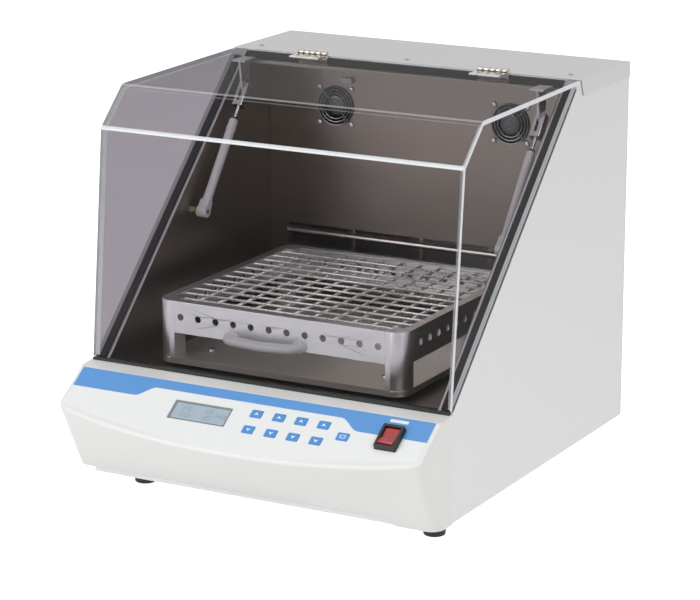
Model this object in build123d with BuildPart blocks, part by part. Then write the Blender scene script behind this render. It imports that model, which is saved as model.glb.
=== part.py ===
from build123d import *

import os
from math import atan2, cos, degrees, hypot, radians, sin, tan

# Incubated benchtop shaker: a sheet-metal cabinet with a moulded front fascia, a smoke-grey
# lift-up lid on two hinges and two gas struts, and an orbiting platform with a spring tray.
# Millimetres, +Z up, the front towards -Y, standing on its feet at z = 0.

# Cabinet
WIDTH = 530.0
HALF = WIDTH / 2
FRONT = -208.2  # y of the side panels' upright front edge
BACK = FRONT + 526.0  # y of the back panel's outer face
TABLE = 15.0  # the feet lift the sheet metal this far
TOP = 515.0
SHEET = 1.5
SKIN_X = 263.5  # outer face of a side panel
FLANGE_X = 242.0  # inner edge of a side panel's folded flanges
SILL_Z = 157.5  # where the lid lands at the front
MOUTH_LOW = (FRONT, 156.0)  # the sloping mouth's lower and upper ends, (y, z)
MOUTH_HIGH = (FRONT + 364.5, TOP - SHEET)

# Chamber
LINER_X = 241.0  # inner face of a chamber wall
LINER = 1.0
FLOOR_Z = 145.0
DUCT_Y = FRONT + 425.0
CEILING_Z = 500.0
FAN_X = 135.0
FAN_Z = 434.0

# Fascia
FOOT_Y = FRONT - 40.0  # straight lower front edge
BROW_Z = 160.0  # height at which the bow is given, just above the ledge
BROW_MID = FRONT - 172.2
BROW_END = FRONT - 114.2  # the bow at BOW_X either side
BOW_X = 250.0
PANEL_Y = FRONT - 31.6  # top edge of the sloping control face
PANEL_Z = 154.0
PANEL_SLOPE = 34.5
WALL = 3.0
OVERLAY = 0.6

# Controls, on the control face: x, and distance down the slope
KEY_XS = (17.9, 50.4, 82.1, 114.6)
KEY_UP_V = 30.7
KEY_DOWN_V = 56.4
SET_KEY = (146.8, 43.6)
KEY = (16.4, 12.1)
KEY_GAP = 0.35
WINDOW = (-59.5, 43.4, 84.7, 30.4)
SWITCH = (209.3, 35.0)
ROCKER_R = 14.2
ROCKER_TILT = -10.0
FRAME_TOP = 7.5  # height of the switch bezel over the face
PIVOT = 1.0  # height of the rocker's pivot over the face

# Lid
ACRYLIC = 6.0
LID_X = 262.0
LID_OUTER = [
    (FRONT + 359.0, 514.6),
    (FRONT + 78.0, 510.7),
    (FRONT + 26.2, 462.1),
    (FRONT - 4.0, 161.4),
]
LID_GAP = 2.8  # side sheets stand this far off the mouth
HINGE = (FRONT + 364.0, 518.0)  # (y, z) of the hinge pins
HINGE_X = 137.0
HINGE_WIDTH = 45.0
BARREL_R = 3.2
PIN_R = 1.25

# Gas struts
STRUT_X = 225.0
STRUT_LOW = (FRONT + 215.0, 315.5)
STRUT_TOP = (FRONT + 327.0, 466.0)
ROD_R = 2.5
TUBE_R = 6.25
RUN = 0.05  # radial clearance of a running fit

# Platform and drive
ORBIT_Y = FRONT + 215.5
THROW = 10.0
TRAY_X = -THROW  # platform centre at rest
TRAY_Y = ORBIT_Y
TRAY_HALF_X = 183.0
TRAY_HALF_Y = 172.0
PLATE_Z = 152.5
PLATE = 8.0
TRAY_TOP = 237.0
POST = 27.0
RAIL_Z = 194.0
SPRING_D = 4.0
PIN_TOP = 159.3
CRANK_PIN_R = 6.0
SHAFT_R = 10.0
DECK_Z = 112.0
IDLERS = [(-120.0, 92.5), (120.0, 92.5), (0.0, -102.5)]


def block(xs, ys, zs, mode=Mode.ADD):
    """A rectangular block between two limits along each axis."""
    middle = [(a + b) / 2 for a, b in (xs, ys, zs)]
    with Locations(tuple(middle)):
        Box(xs[1] - xs[0], ys[1] - ys[0], zs[1] - zs[0], mode=mode)


def panel(height=0.0):
    """Plane of the control face: X across, Y up the slope, Z outward."""
    slope = radians(PANEL_SLOPE)
    base = Plane(origin=(0, PANEL_Y, PANEL_Z), x_dir=(1, 0, 0), z_dir=(0, -sin(slope), cos(slope)))
    return base.offset(height)


def parallel(points, gap):
    """The same open polyline moved sideways by gap, to the left of its direction."""
    lines = []
    for (a, b), (c, d) in zip(points, points[1:]):
        size = hypot(c - a, d - b)
        nx, ny = -(d - b) / size, (c - a) / size
        lines.append(((a + nx * gap, b + ny * gap), (c - a, d - b)))
    moved = [lines[0][0]]
    for (p, u), (q, v) in zip(lines, lines[1:]):
        cross = u[0] * v[1] - u[1] * v[0]
        t = ((q[0] - p[0]) * v[1] - (q[1] - p[1]) * v[0]) / cross
        moved.append((p[0] + t * u[0], p[1] + t * u[1]))
    p, u = lines[-1]
    moved.append((p[0] + u[0], p[1] + u[1]))
    return moved


def crossing(line, other):
    """Where two straight lines, each given by two points, meet."""
    (a, b), (c, d) = line
    (e, f), (g, h) = other
    ux, uy, vx, vy = c - a, d - b, g - e, h - f
    t = ((e - a) * vy - (f - b) * vx) / (ux * vy - uy * vx)
    return (a + t * ux, b + t * uy)


def mirrored(shape, name):
    """The same piece for the other side of the cabinet."""
    with BuildPart() as twin:
        mirror(shape, about=Plane.YZ)
    twin.part.label = name
    return twin


MOUTH = [MOUTH_LOW, MOUTH_HIGH]
# Half the cabinet's side in (y, z): upright front edge, sloping mouth, level top, back
SIDE_OUTLINE = [
    (FRONT, TABLE),
    (BACK - SHEET, TABLE),
    (BACK - SHEET, TOP - SHEET),
    MOUTH_HIGH,
    MOUTH_LOW,
]

# ---------------------------------------------------------------- sheet-metal cabinet

with BuildPart() as base_pan:
    with BuildSketch(Plane.XY.offset(TABLE)):
        with Locations((0, (FRONT - 34 + BACK - SHEET) / 2)):
            RectangleRounded(2 * 241.8, BACK - SHEET - FRONT + 34, 4)
    extrude(amount=SHEET)
    # upturned front lip, seen under the fascia's raised edge
    block((-200, 200), (FRONT - 35.5, FRONT - 34), (TABLE, TABLE + 9))
    # vents under the drive
    with BuildSketch(Plane.XY.offset(TABLE)):
        with Locations((0, FRONT + 330)):
            with GridLocations(0, 14, 1, 8):
                SlotOverall(120, 6)
    extrude(amount=SHEET, mode=Mode.SUBTRACT)

with BuildPart() as feet:
    spots = [(-186, FRONT - 1), (242, FRONT - 4), (-215, FRONT + 478), (215, FRONT + 478)]
    with BuildSketch():
        with Locations(*spots):
            Circle(15)
    extrude(amount=TABLE, taper=4)

with BuildPart() as side_panel_right:
    with BuildSketch(Plane.YZ.offset(FLANGE_X)):
        Polygon(*SIDE_OUTLINE, align=None)
    extrude(amount=SKIN_X - FLANGE_X)
    with BuildSketch(Plane.YZ.offset(FLANGE_X)):
        Polygon(*SIDE_OUTLINE, align=None)
        offset(amount=-SHEET, kind=Kind.INTERSECTION)
    extrude(amount=SKIN_X - FLANGE_X - SHEET, mode=Mode.SUBTRACT)
side_panel_left = mirrored(side_panel_right.part, "side_panel_left")

with BuildPart() as top_cover:
    with BuildSketch(Plane.YZ.offset(-HALF)):
        lip = [(FRONT + 366, TOP), (BACK, TOP), (BACK, 493), (FRONT + 374, 493)]
        Polygon(*lip, align=None)
    extrude(amount=WIDTH)
    block((-SKIN_X, SKIN_X), (FRONT + 300, BACK - SHEET), (400, TOP - SHEET), Mode.SUBTRACT)
    # front flange that carries the hinges, down to the chamber's header
    block((-241.9, 241.9), (FRONT + 366, FRONT + 367.5), (CEILING_Z + SHEET, TOP - SHEET))

INLET = (180.0, 75.0)

with BuildPart() as back_panel:
    block((-SKIN_X, SKIN_X), (BACK - SHEET, BACK), (TABLE, 493))
    with BuildSketch(Plane.XZ.offset(-BACK)):
        with Locations(INLET):
            RectangleRounded(28, 21, 3)
        # exhaust louvres behind the heater duct
        with Locations((0, 330)):
            with GridLocations(0, 12, 1, 6):
                SlotOverall(120, 5)
    extrude(amount=SHEET, mode=Mode.SUBTRACT)

with BuildPart() as power_inlet:
    with BuildSketch(Plane.XZ.offset(-BACK - 2.5)):
        with Locations(INLET):
            RectangleRounded(50, 27, 4)
    extrude(amount=2.5)
    with BuildSketch(Plane.XZ.offset(-BACK)):
        with Locations(INLET):
            RectangleRounded(27.6, 20.6, 3)
    extrude(amount=24)
    with BuildSketch(Plane.XZ.offset(-BACK - 2.5)):
        with Locations(INLET):
            Rectangle(24, 16.5)
            with Locations((0, 8.25)):
                with GridLocations(24, 0, 2, 1):
                    Rectangle(9, 9, rotation=45, mode=Mode.SUBTRACT)
    extrude(amount=20, mode=Mode.SUBTRACT)
    # three flat contact pins standing in the socket
    with BuildSketch(Plane.XZ.offset(-BACK + 17.5)):
        with Locations((INLET[0] - 7, INLET[1] - 2), (INLET[0] + 7, INLET[1] - 2), (INLET[0], INLET[1] + 3)):
            Rectangle(2, 4)
    extrude(amount=-10)

# ---------------------------------------------------------------- moulded front fascia


def fascia_form(inset):
    """The fascia's solid form, or that form shrunk by a wall: a straight foot lofted up and
    forward into a bowed brow, cut off by the level ledge and the sloping control face."""
    side = HALF - inset
    rear = FRONT + inset
    reach = 1.36 * inset  # a wall's thickness measured level through the raked front
    tip = BROW_MID + reach
    sag = (BROW_END - BROW_MID) * (side / BOW_X) ** 2
    slope = radians(PANEL_SLOPE)
    drop = inset / cos(slope)
    ledge = ((FRONT, SILL_Z - inset), (PANEL_Y, PANEL_Z - inset))
    face = ((PANEL_Y, PANEL_Z - drop), (PANEL_Y - 150, PANEL_Z - drop - 150 * tan(slope)))
    corner = crossing(ledge, face)
    with BuildPart() as form:
        with BuildSketch(Plane.XY.offset(TABLE)):
            with BuildLine():
                Polyline((-side, FOOT_Y + reach), (-side, rear), (side, rear), (side, FOOT_Y + reach))
                Line((side, FOOT_Y + reach), (-side, FOOT_Y + reach))
            make_face()
        with BuildSketch(Plane.XY.offset(BROW_Z)):
            with BuildLine():
                Polyline((-side, tip + sag), (-side, rear), (side, rear), (side, tip + sag))
                ThreePointArc((side, tip + sag), (0, tip), (-side, tip + sag))
            make_face()
        loft(ruled=True)
        with BuildSketch(Plane.YZ.offset(-side)):
            Polygon((rear, 0), (rear, ledge[0][1]), corner, face[1], (face[1][0], 0), align=None)
        extrude(amount=2 * side, mode=Mode.INTERSECT)
        corners = form.edges().filter_by(
            lambda e: e.bounding_box().max.Y < FOOT_Y + reach + 1 and abs(e.center().X) > side - 1
        )
        fillet(corners, radius=16 - inset)
    return form.part


fascia_outer = fascia_form(0)
fascia_inner = fascia_form(WALL)


def on_control_face(edge):
    """True for the far edges of the control face: its crease and its two ends."""
    middle = edge @ 0.5
    below = (PANEL_Y - middle.Y) * tan(radians(PANEL_SLOPE))
    return edge.bounding_box().max.Y < PANEL_Y + 1 and abs(PANEL_Z - below - middle.Z) < 0.3


def key_spots():
    """Centres of the nine keys on the control face, up row, down row, set key."""
    ups = [(x, -KEY_UP_V) for x in KEY_XS]
    downs = [(x, -KEY_DOWN_V) for x in KEY_XS]
    return ups + downs + [(SET_KEY[0], -SET_KEY[1])]


with BuildPart() as front_fascia:
    add(fascia_outer)
    fillet(front_fascia.edges().filter_by(on_control_face), radius=5)
    add(fascia_inner, mode=Mode.SUBTRACT)
    # lower edge raised from the left corner to a leg at the right, with an eased shoulder
    with BuildSketch(Plane.XZ.offset(-FRONT + 20)):
        with BuildLine():
            Line((-270, 24.5), (178, 24.5))
            Spline((178, 24.5), (212, TABLE), tangents=[(1, 0), (1, 0)])
            Polyline((212, TABLE), (212, 0), (-270, 0), (-270, 24.5))
        make_face()
    extrude(amount=60, mode=Mode.SUBTRACT)
    # windows for the display, the keys and the switch
    with BuildSketch(panel(-1.5)):
        with Locations((WINDOW[0], -WINDOW[1])):
            Rectangle(WINDOW[2], WINDOW[3])
        with Locations(*key_spots()):
            RectangleRounded(KEY[0] + 2 * KEY_GAP, KEY[1] + 2 * KEY_GAP, 1.8)
        with Locations((SWITCH[0], -SWITCH[1])):
            Rectangle(26, 33)
    extrude(amount=3, both=True, mode=Mode.SUBTRACT)

# printed overlay: straight top, bowed lower edge, rounded lower corners
with BuildPart() as control_overlay:
    with BuildSketch(panel()) as printed:
        with BuildLine():
            ThreePointArc((-120, -85), (0, -95), (120, -85))
            Polyline((120, -85), (258, -62.2), (258, -0.5), (-258, -0.5), (-258, -62.2), (-120, -85))
        make_face()
        low_corners = printed.vertices().filter_by(lambda v: abs(v.X) > 257 and v.Y < -60)
        fillet(low_corners, radius=9)
        with Locations((WINDOW[0], -WINDOW[1])):
            Rectangle(WINDOW[2], WINDOW[3], mode=Mode.SUBTRACT)
        with Locations(*key_spots()):
            RectangleRounded(KEY[0] + 2 * KEY_GAP, KEY[1] + 2 * KEY_GAP, 1.8, mode=Mode.SUBTRACT)
        with Locations((SWITCH[0], -SWITCH[1])):
            Rectangle(30.9, 37.9, mode=Mode.SUBTRACT)
    extrude(amount=OVERLAY)

# display block and control board behind the face, the glass up in the window
with BuildPart() as display_module:
    with BuildSketch(panel(-WALL)):
        with Locations((WINDOW[0], -WINDOW[1])):
            Rectangle(100, 44)
    extrude(amount=-6)
    with BuildSketch(panel(-WALL)):
        with Locations((WINDOW[0], -WINDOW[1])):
            Rectangle(WINDOW[2] - 0.4, WINDOW[3] - 0.4)
    extrude(amount=WALL - 1)
    with BuildSketch(panel(-WALL - 6)):
        with Locations((22, -44)):
            Rectangle(280, 60)
    extrude(amount=-1.6)



def height_on_face(edge):
    """How far an edge stands over the control face."""
    return round(panel().to_local_coords(edge.center()).Z, 2)


def key_at(spot, name):
    """One key cap, its rim eased, standing a little proud of the overlay."""
    with BuildPart() as key:
        with BuildSketch(panel(-3.4)):
            with Locations(spot):
                RectangleRounded(KEY[0], KEY[1], 1.6)
        extrude(amount=4.6)
        fillet(key.edges().group_by(height_on_face)[-1], radius=0.5)
    key.part.label = name
    return key


key_names = [f"key_up_{i}" for i in (1, 2, 3, 4)] + [f"key_down_{i}" for i in (1, 2, 3, 4)] + ["key_set"]
keys = [key_at(spot, name) for spot, name in zip(key_spots(), key_names)]

# section of the switch: X up the slope, Y outward, about the rocker's pivot
pivot = panel(PIVOT).from_local_coords(Vector(SWITCH[0], -SWITCH[1], 0))
across = Plane(origin=pivot, x_dir=panel().y_dir, z_dir=(1, 0, 0))

# switch bezel standing on the face, its body reaching down behind it
with BuildPart() as rocker_frame:
    with BuildSketch(panel()):
        with Locations((SWITCH[0], -SWITCH[1])):
            RectangleRounded(30.5, 37.5, 2.5)
    extrude(amount=FRAME_TOP, taper=6)
    fillet(rocker_frame.edges().group_by(height_on_face)[-1], radius=0.8)
    with BuildSketch(panel()):
        with Locations((SWITCH[0], -SWITCH[1])):
            Rectangle(25.6, 32.6)
    extrude(amount=-19)
    with BuildSketch(panel(FRAME_TOP)):
        with Locations((SWITCH[0], -SWITCH[1])):
            Rectangle(21.6, 2 * ROCKER_R + 0.6)
    extrude(amount=-FRAME_TOP - 17, mode=Mode.SUBTRACT)
    with BuildSketch(across.offset(-11.5)):
        Circle(2.0)
    extrude(amount=23)

# rocker: round ends about its pivot and a shallow V on top, resting on one side
tipped = panel().y_dir.rotate(Axis.X, ROCKER_TILT)
with BuildPart() as rocker:
    with BuildSketch(Plane(origin=pivot, x_dir=tipped, z_dir=(1, 0, 0)).offset(-10.5)):
        with BuildLine():
            end = (ROCKER_R * cos(radians(24)), ROCKER_R * sin(radians(24)))
            ThreePointArc(end, (0, -ROCKER_R), (-end[0], end[1]))
            Polyline((-end[0], end[1]), (0, 3.6), end)
        make_face()
        Circle(2.0 + RUN, mode=Mode.SUBTRACT)
    extrude(amount=21)

# ---------------------------------------------------------------- stainless chamber

FLOOR_TOP = FLOOR_Z + SHEET
mouth_at_ceiling = crossing(MOUTH, ((0, CEILING_Z + SHEET), (1, CEILING_Z + SHEET)))

with BuildPart() as chamber_wall_right:
    with BuildSketch(Plane.YZ.offset(LINER_X)):
        Polygon(
            (FRONT + 1.5, FLOOR_Z),
            (DUCT_Y + SHEET, FLOOR_Z),
            (DUCT_Y + SHEET, CEILING_Z + SHEET),
            mouth_at_ceiling,
            (FRONT + 1.5, SILL_Z - 0.1),
            align=None,
        )
    extrude(amount=LINER)
chamber_wall_left = mirrored(chamber_wall_right.part, "chamber_wall_left")

drive_pins = [(TRAY_X, ORBIT_Y)] + [(x - THROW, ORBIT_Y + y) for x, y in IDLERS]
drive_axes = [(0, ORBIT_Y)] + [(x, ORBIT_Y + y) for x, y in IDLERS]

with BuildPart() as chamber_floor:
    block((-LINER_X, LINER_X), (FRONT + 1, DUCT_Y), (FLOOR_Z, FLOOR_TOP))
    # front sill, turned up to where the lid lands
    block((-LINER_X, LINER_X), (FRONT + 1, FRONT + 2.5), (FLOOR_Z, SILL_Z))
    with BuildSketch(Plane.XY.offset(FLOOR_Z)):
        with Locations(*drive_axes):
            Circle(21)
    extrude(amount=SHEET, mode=Mode.SUBTRACT)

with BuildPart() as chamber_header:
    block((-LINER_X, LINER_X), (FRONT + 344.5, DUCT_Y + SHEET), (CEILING_Z, CEILING_Z + SHEET))
    # turned-up front lip
    block((-LINER_X, LINER_X), (FRONT + 344.5, FRONT + 346), (CEILING_Z, CEILING_Z + 5))

# rear duct panel: two fan openings, a louvred slot row and a plain slot row in four bays
with BuildPart() as duct_panel:
    block((-LINER_X, LINER_X), (DUCT_Y, DUCT_Y + SHEET), (FLOOR_Z, CEILING_Z))
    with BuildSketch(Plane.XZ.offset(-DUCT_Y)):
        with Locations((-FAN_X, FAN_Z), (FAN_X, FAN_Z)):
            Circle(28)
        with Locations((0, 256.5)):
            with GridLocations(107, 0, 4, 1):
                Rectangle(101, 5)
        with Locations((0, 236)):
            with GridLocations(107, 0, 4, 1):
                Rectangle(101, 16)
    extrude(amount=-SHEET, mode=Mode.SUBTRACT)
    with BuildSketch(Plane.YZ.offset(-214)):
        Polygon((DUCT_Y, 244), (DUCT_Y, 253.5), (DUCT_Y - 3.5, 251), (DUCT_Y - 3.5, 246.5), align=None)
    extrude(amount=428)

fan_spots = [(-FAN_X, FAN_Z), (FAN_X, FAN_Z)]

with BuildPart() as fan_frames:
    with BuildSketch(Plane.XZ.offset(-DUCT_Y - SHEET)):
        with Locations(*fan_spots):
            RectangleRounded(60, 60, 4)
            Circle(28, mode=Mode.SUBTRACT)
    extrude(amount=-25)
    # rear spider, motor cup and spindle
    with BuildSketch(Plane.XZ.offset(-DUCT_Y - SHEET - 21)):
        with Locations(*fan_spots):
            Circle(12)
            with PolarLocations(20, 4, start_angle=45):
                Rectangle(18, 4)
    extrude(amount=-4)
    with BuildSketch(Plane.XZ.offset(-DUCT_Y - SHEET - 21)):
        with Locations(*fan_spots):
            Circle(2)
    extrude(amount=14)

ROTOR_Y = DUCT_Y + SHEET + 5.5


def rotor_at(x, name):
    """Fan rotor: a hub cup on the spindle with seven pitched blades."""
    with BuildPart() as rotor:
        with BuildSketch(Plane.XZ.offset(-ROTOR_Y)):
            with Locations((x, FAN_Z)):
                Circle(12)
        extrude(amount=-15)
        hub = Plane(origin=(x, ROTOR_Y + 7.5, FAN_Z), x_dir=(1, 0, 0), z_dir=(0, -1, 0))
        with Locations(hub):
            with PolarLocations(18.5, 7):
                Box(16, 1.6, 13, rotation=(38, 0, 0))
        with BuildSketch(Plane.XZ.offset(-ROTOR_Y - 1.5)):
            with Locations((x, FAN_Z)):
                Circle(2 + RUN)
        extrude(amount=-20, mode=Mode.SUBTRACT)
    rotor.part.label = name
    return rotor


fan_rotor_left = rotor_at(-FAN_X, "fan_rotor_left")
fan_rotor_right = rotor_at(FAN_X, "fan_rotor_right")

# finger guards: three rings and a boss on four arms, standing off on screw lugs
with BuildPart() as fan_guards:
    with BuildSketch(Plane.XZ.offset(-DUCT_Y + 2)):
        with Locations(*fan_spots):
            for ring in (28, 23.5, 19):
                Circle(ring)
                Circle(ring - 2, mode=Mode.SUBTRACT)
            Circle(14.6)
            with PolarLocations(20, 4, start_angle=45):
                Rectangle(30, 2.4)
            with GridLocations(50, 50, 2, 2):
                Circle(4)
    extrude(amount=1.8)
    with BuildSketch(Plane.XZ.offset(-DUCT_Y)):
        with Locations(*fan_spots):
            with GridLocations(50, 50, 2, 2):
                Circle(3.4)
    extrude(amount=2)

with BuildPart() as sensor_clip:
    with BuildSketch(Plane.XZ.offset(-DUCT_Y)):
        with Locations((-115.2, 472)):
            RectangleRounded(17.5, 8, 2)
    extrude(amount=7)
    fillet(sensor_clip.faces().sort_by(Axis.Y)[0].edges(), radius=1.2)

# ---------------------------------------------------------------- lid

lid_inner = parallel(LID_OUTER, ACRYLIC)
lid_mouth = parallel(MOUTH, LID_GAP)
lid_low = crossing(lid_mouth, lid_inner[2:])
lid_high = crossing(lid_mouth, lid_inner[:2])

with BuildPart() as lid_canopy:
    with BuildSketch(Plane.YZ.offset(-LID_X)):
        with BuildLine():
            FilletPolyline(*LID_OUTER, radius=12)
            Line(LID_OUTER[-1], lid_inner[-1])
            FilletPolyline(*lid_inner[::-1], radius=6)
            Line(lid_inner[0], LID_OUTER[0])
        make_face()
    extrude(amount=2 * LID_X)

with BuildPart() as lid_side_right:
    with BuildSketch(Plane.YZ.offset(LID_X - ACRYLIC)):
        with BuildLine():
            FilletPolyline(lid_high, *lid_inner[1:3], lid_low, radius=6)
            Line(lid_low, lid_high)
        make_face()
    extrude(amount=ACRYLIC)
lid_side_left = mirrored(lid_side_right.part, "lid_side_left")

# ---------------------------------------------------------------- mouth gasket

GASKET = 2.5
strip_top = parallel(MOUTH, GASKET)
strip_end = ((FRONT + 354.5, 0), (FRONT + 354.5, 1))
strip_start = ((FRONT + 3, 0), (FRONT + 3, 1))

with BuildPart() as mouth_gasket:
    with BuildSketch(Plane.YZ.offset(246)):
        Polygon(
            crossing(MOUTH, strip_start),
            crossing(MOUTH, strip_end),
            crossing(strip_top, strip_end),
            crossing(strip_top, strip_start),
            align=None,
        )
    extrude(amount=16)
    mirror(about=Plane.YZ)
    # strip along the sill, over the fascia's ledge
    with BuildSketch(Plane.YZ.offset(-LID_X)):
        ledge_front = (FRONT - 6, SILL_Z - 6 * (SILL_Z - PANEL_Z) / (FRONT - PANEL_Y))
        Polygon(ledge_front, (FRONT, SILL_Z), (FRONT, 160.3), (FRONT - 6, 160.0), align=None)
    extrude(amount=2 * LID_X)
    block((-LINER_X, LINER_X), (FRONT, FRONT + 6), (SILL_Z, 160.3))
    # strip across the front flange of the top cover, between and beside the hinges
    edge = HINGE_X + HINGE_WIDTH / 2 + 0.5
    inside = HINGE_X - HINGE_WIDTH / 2 - 0.5
    for span in ((-241.9, -edge), (-inside, inside), (edge, 241.9)):
        block(span, (FRONT + 363.5, FRONT + 366), (502.5, 512.5))

# ---------------------------------------------------------------- hinges

KNUCKLE = HINGE_WIDTH / 5
hinge_spots = (-HINGE_X, HINGE_X)


def knuckles(ranks, bore, side):
    """Barrel knuckles of one hinge, by rank from its left end."""
    with BuildPart() as rolls:
        for rank in ranks:
            start = side - HINGE_WIDTH / 2 + rank * KNUCKLE + 0.15
            with BuildSketch(Plane.YZ.offset(start)):
                with Locations(HINGE):
                    Circle(BARREL_R)
            extrude(amount=KNUCKLE - 0.3)
        if bore:
            with BuildSketch(Plane.YZ.offset(side - HINGE_WIDTH / 2)):
                with Locations(HINGE):
                    Circle(bore)
            extrude(amount=HINGE_WIDTH, mode=Mode.SUBTRACT)
    return rolls.part


cabinet_rolls = [knuckles((0, 2, 4), 0, side) for side in hinge_spots]
lid_rolls = [knuckles((1, 3), PIN_R + RUN, side) for side in hinge_spots]

# cabinet leaves: upright plates on the front flange, knuckles one, three and five, and the pin
with BuildPart() as cabinet_hinge_leaves:
    for side, rolls in zip(hinge_spots, cabinet_rolls):
        left = side - HINGE_WIDTH / 2
        block((left, left + HINGE_WIDTH), (FRONT + 364.5, FRONT + 366), (502, 514.4))
        for rank in (0, 2, 4):
            start = left + rank * KNUCKLE + 0.15
            block((start, start + KNUCKLE - 0.3), (FRONT + 364.5, FRONT + 366), (514.4, 517.5))
        add(rolls)
        with BuildSketch(Plane.YZ.offset(left + 0.15)):
            with Locations(HINGE):
                Circle(PIN_R)
        extrude(amount=HINGE_WIDTH - 0.3)

# lid leaves: plates on the canopy's rear edge with knuckles two and four
with BuildPart() as lid_hinge_leaves:
    rise = (LID_OUTER[0][1] - LID_OUTER[1][1]) / (LID_OUTER[0][0] - LID_OUTER[1][0])

    def on_canopy(y):
        return (y, LID_OUTER[0][1] + (y - LID_OUTER[0][0]) * rise)

    for side, rolls in zip(hinge_spots, lid_rolls):
        left = side - HINGE_WIDTH / 2
        foot = [on_canopy(FRONT + 337), on_canopy(FRONT + 360.3)]
        lifted = [(y, z + 1.5) for y, z in foot]
        with BuildSketch(Plane.YZ.offset(left)):
            Polygon(foot[0], foot[1], lifted[1], lifted[0], align=None)
        extrude(amount=HINGE_WIDTH)
        for rank in (1, 3):
            start = left + rank * KNUCKLE + 0.15
            toe = [on_canopy(FRONT + 360.3), (HINGE[0] - 0.5, HINGE[1] - BARREL_R + 0.02)]
            with BuildSketch(Plane.YZ.offset(start)):
                Polygon(toe[0], toe[1], (toe[1][0] - 1.2, lifted[1][1]), lifted[1], align=None)
            extrude(amount=KNUCKLE - 0.3)
        add(rolls)

# ---------------------------------------------------------------- gas struts

reach = (STRUT_TOP[0] - STRUT_LOW[0], STRUT_TOP[1] - STRUT_LOW[1])
STRUT = hypot(*reach)
TUBE_END = 140.0


def strut_plane(along=0.0):
    """Plane across the right strut, its Z axis up the strut, at a distance from its foot."""
    u = (reach[0] / STRUT, reach[1] / STRUT)
    base = (STRUT_X, STRUT_LOW[0] + along * u[0], STRUT_LOW[1] + along * u[1])
    return Plane(origin=base, x_dir=(1, 0, 0), z_dir=(0, u[0], u[1]))


strut_side = Plane(
    origin=(STRUT_X, STRUT_LOW[0], STRUT_LOW[1]),
    x_dir=(0, reach[0] / STRUT, reach[1] / STRUT),
    z_dir=(1, 0, 0),
)

# cylinder with its lower eye, which swings on the wall stud
with BuildPart() as strut_cylinder_right:
    with BuildSketch(strut_side.offset(-7)):
        Circle(8)
        with Locations((8, 0)):
            Rectangle(16, 11)
    extrude(amount=14)
    with BuildSketch(strut_plane(14)):
        Circle(TUBE_R)
    extrude(amount=TUBE_END - 14)
    chamfer(strut_cylinder_right.faces().sort_by(Axis.Z)[-1].edges(), length=1.2)
    with BuildSketch(strut_side.offset(-7)):
        Circle(3 + RUN)
    extrude(amount=14, mode=Mode.SUBTRACT)
    with BuildSketch(strut_plane(TUBE_END + 1)):
        Circle(ROD_R + RUN)
    extrude(amount=-(TUBE_END + 1 - 22), mode=Mode.SUBTRACT)
strut_cylinder_left = mirrored(strut_cylinder_right.part, "strut_cylinder_left")

FORK_LOW = 160.0
FORK_TOP = STRUT + 6.5
SLOT_LOW = 167.0
# rod with its upper fork and cross pin
with BuildPart() as strut_rod_right:
    with BuildSketch(strut_plane(24)):
        Circle(ROD_R)
    extrude(amount=FORK_LOW + 3 - 24)
    with BuildSketch(strut_plane(FORK_LOW)):
        RectangleRounded(16, 14, 2)
    extrude(amount=FORK_TOP - FORK_LOW)
    with BuildSketch(strut_plane(SLOT_LOW)):
        Rectangle(4, 20)
    extrude(amount=60, mode=Mode.SUBTRACT)
    with BuildSketch(strut_side.offset(-8)):
        with Locations((STRUT, 0)):
            Circle(2.5)
    extrude(amount=16)
strut_rod_left = mirrored(strut_rod_right.part, "strut_rod_left")

# lid brackets: a flange glued under the canopy and a tab with a slotted hole for the pin
PIN_TRAVEL = (6.1, 7.4)  # the pin's drift in the slot at mid travel, in (y, z) of the closed lid
SLOT_R = 4.2
with BuildPart() as strut_brackets:
    under = [lid_inner[0], lid_inner[1]]

    def below_canopy(y, gap):
        return (y, under[0][1] + (y - under[0][0]) * rise - gap)

    with BuildSketch(Plane.YZ.offset(STRUT_X - 10)):
        Polygon(
            below_canopy(FRONT + 312, 0),
            below_canopy(FRONT + 342, 0),
            below_canopy(FRONT + 342, 2.5),
            below_canopy(FRONT + 312, 2.5),
            align=None,
        )
    extrude(amount=20)
    with BuildSketch(Plane.YZ.offset(STRUT_X - 1.5)):
        Polygon(
            below_canopy(FRONT + 314, 1),
            below_canopy(FRONT + 342, 1),
            (STRUT_TOP[0] + 9.5, STRUT_TOP[1] + 4),
            (STRUT_TOP[0] - 7.2, STRUT_TOP[1] + 1),
            align=None,
        )
        with Locations(STRUT_TOP):
            Circle(SLOT_R + 3)
        with Locations((STRUT_TOP[0] + PIN_TRAVEL[0] / 2, STRUT_TOP[1] + PIN_TRAVEL[1] / 2)):
            turn = degrees(atan2(PIN_TRAVEL[1], PIN_TRAVEL[0]))
            SlotCenterToCenter(hypot(*PIN_TRAVEL), 2 * SLOT_R, rotation=turn, mode=Mode.SUBTRACT)
    extrude(amount=3)
    mirror(about=Plane.YZ)

# wall studs with their clamping nuts
with BuildPart() as strut_studs:
    with BuildSketch(Plane.YZ.offset(STRUT_X - 8)):
        with Locations(STRUT_LOW):
            Circle(3)
    extrude(amount=LINER_X - STRUT_X + 8)
    with BuildSketch(Plane.YZ.offset(LINER_X - 6)):
        with Locations(STRUT_LOW):
            RegularPolygon(6.5, 6)
    extrude(amount=6)
    mirror(about=Plane.YZ)

# ---------------------------------------------------------------- platform and tray

tray_mid_x = Plane.YZ.offset(TRAY_X)
tray_mid_y = Plane.XZ.offset(-TRAY_Y)
west, east = TRAY_X - TRAY_HALF_X, TRAY_X + TRAY_HALF_X
south, north = TRAY_Y - TRAY_HALF_Y, TRAY_Y + TRAY_HALF_Y
PLATE_TOP = PLATE_Z + PLATE

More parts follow.
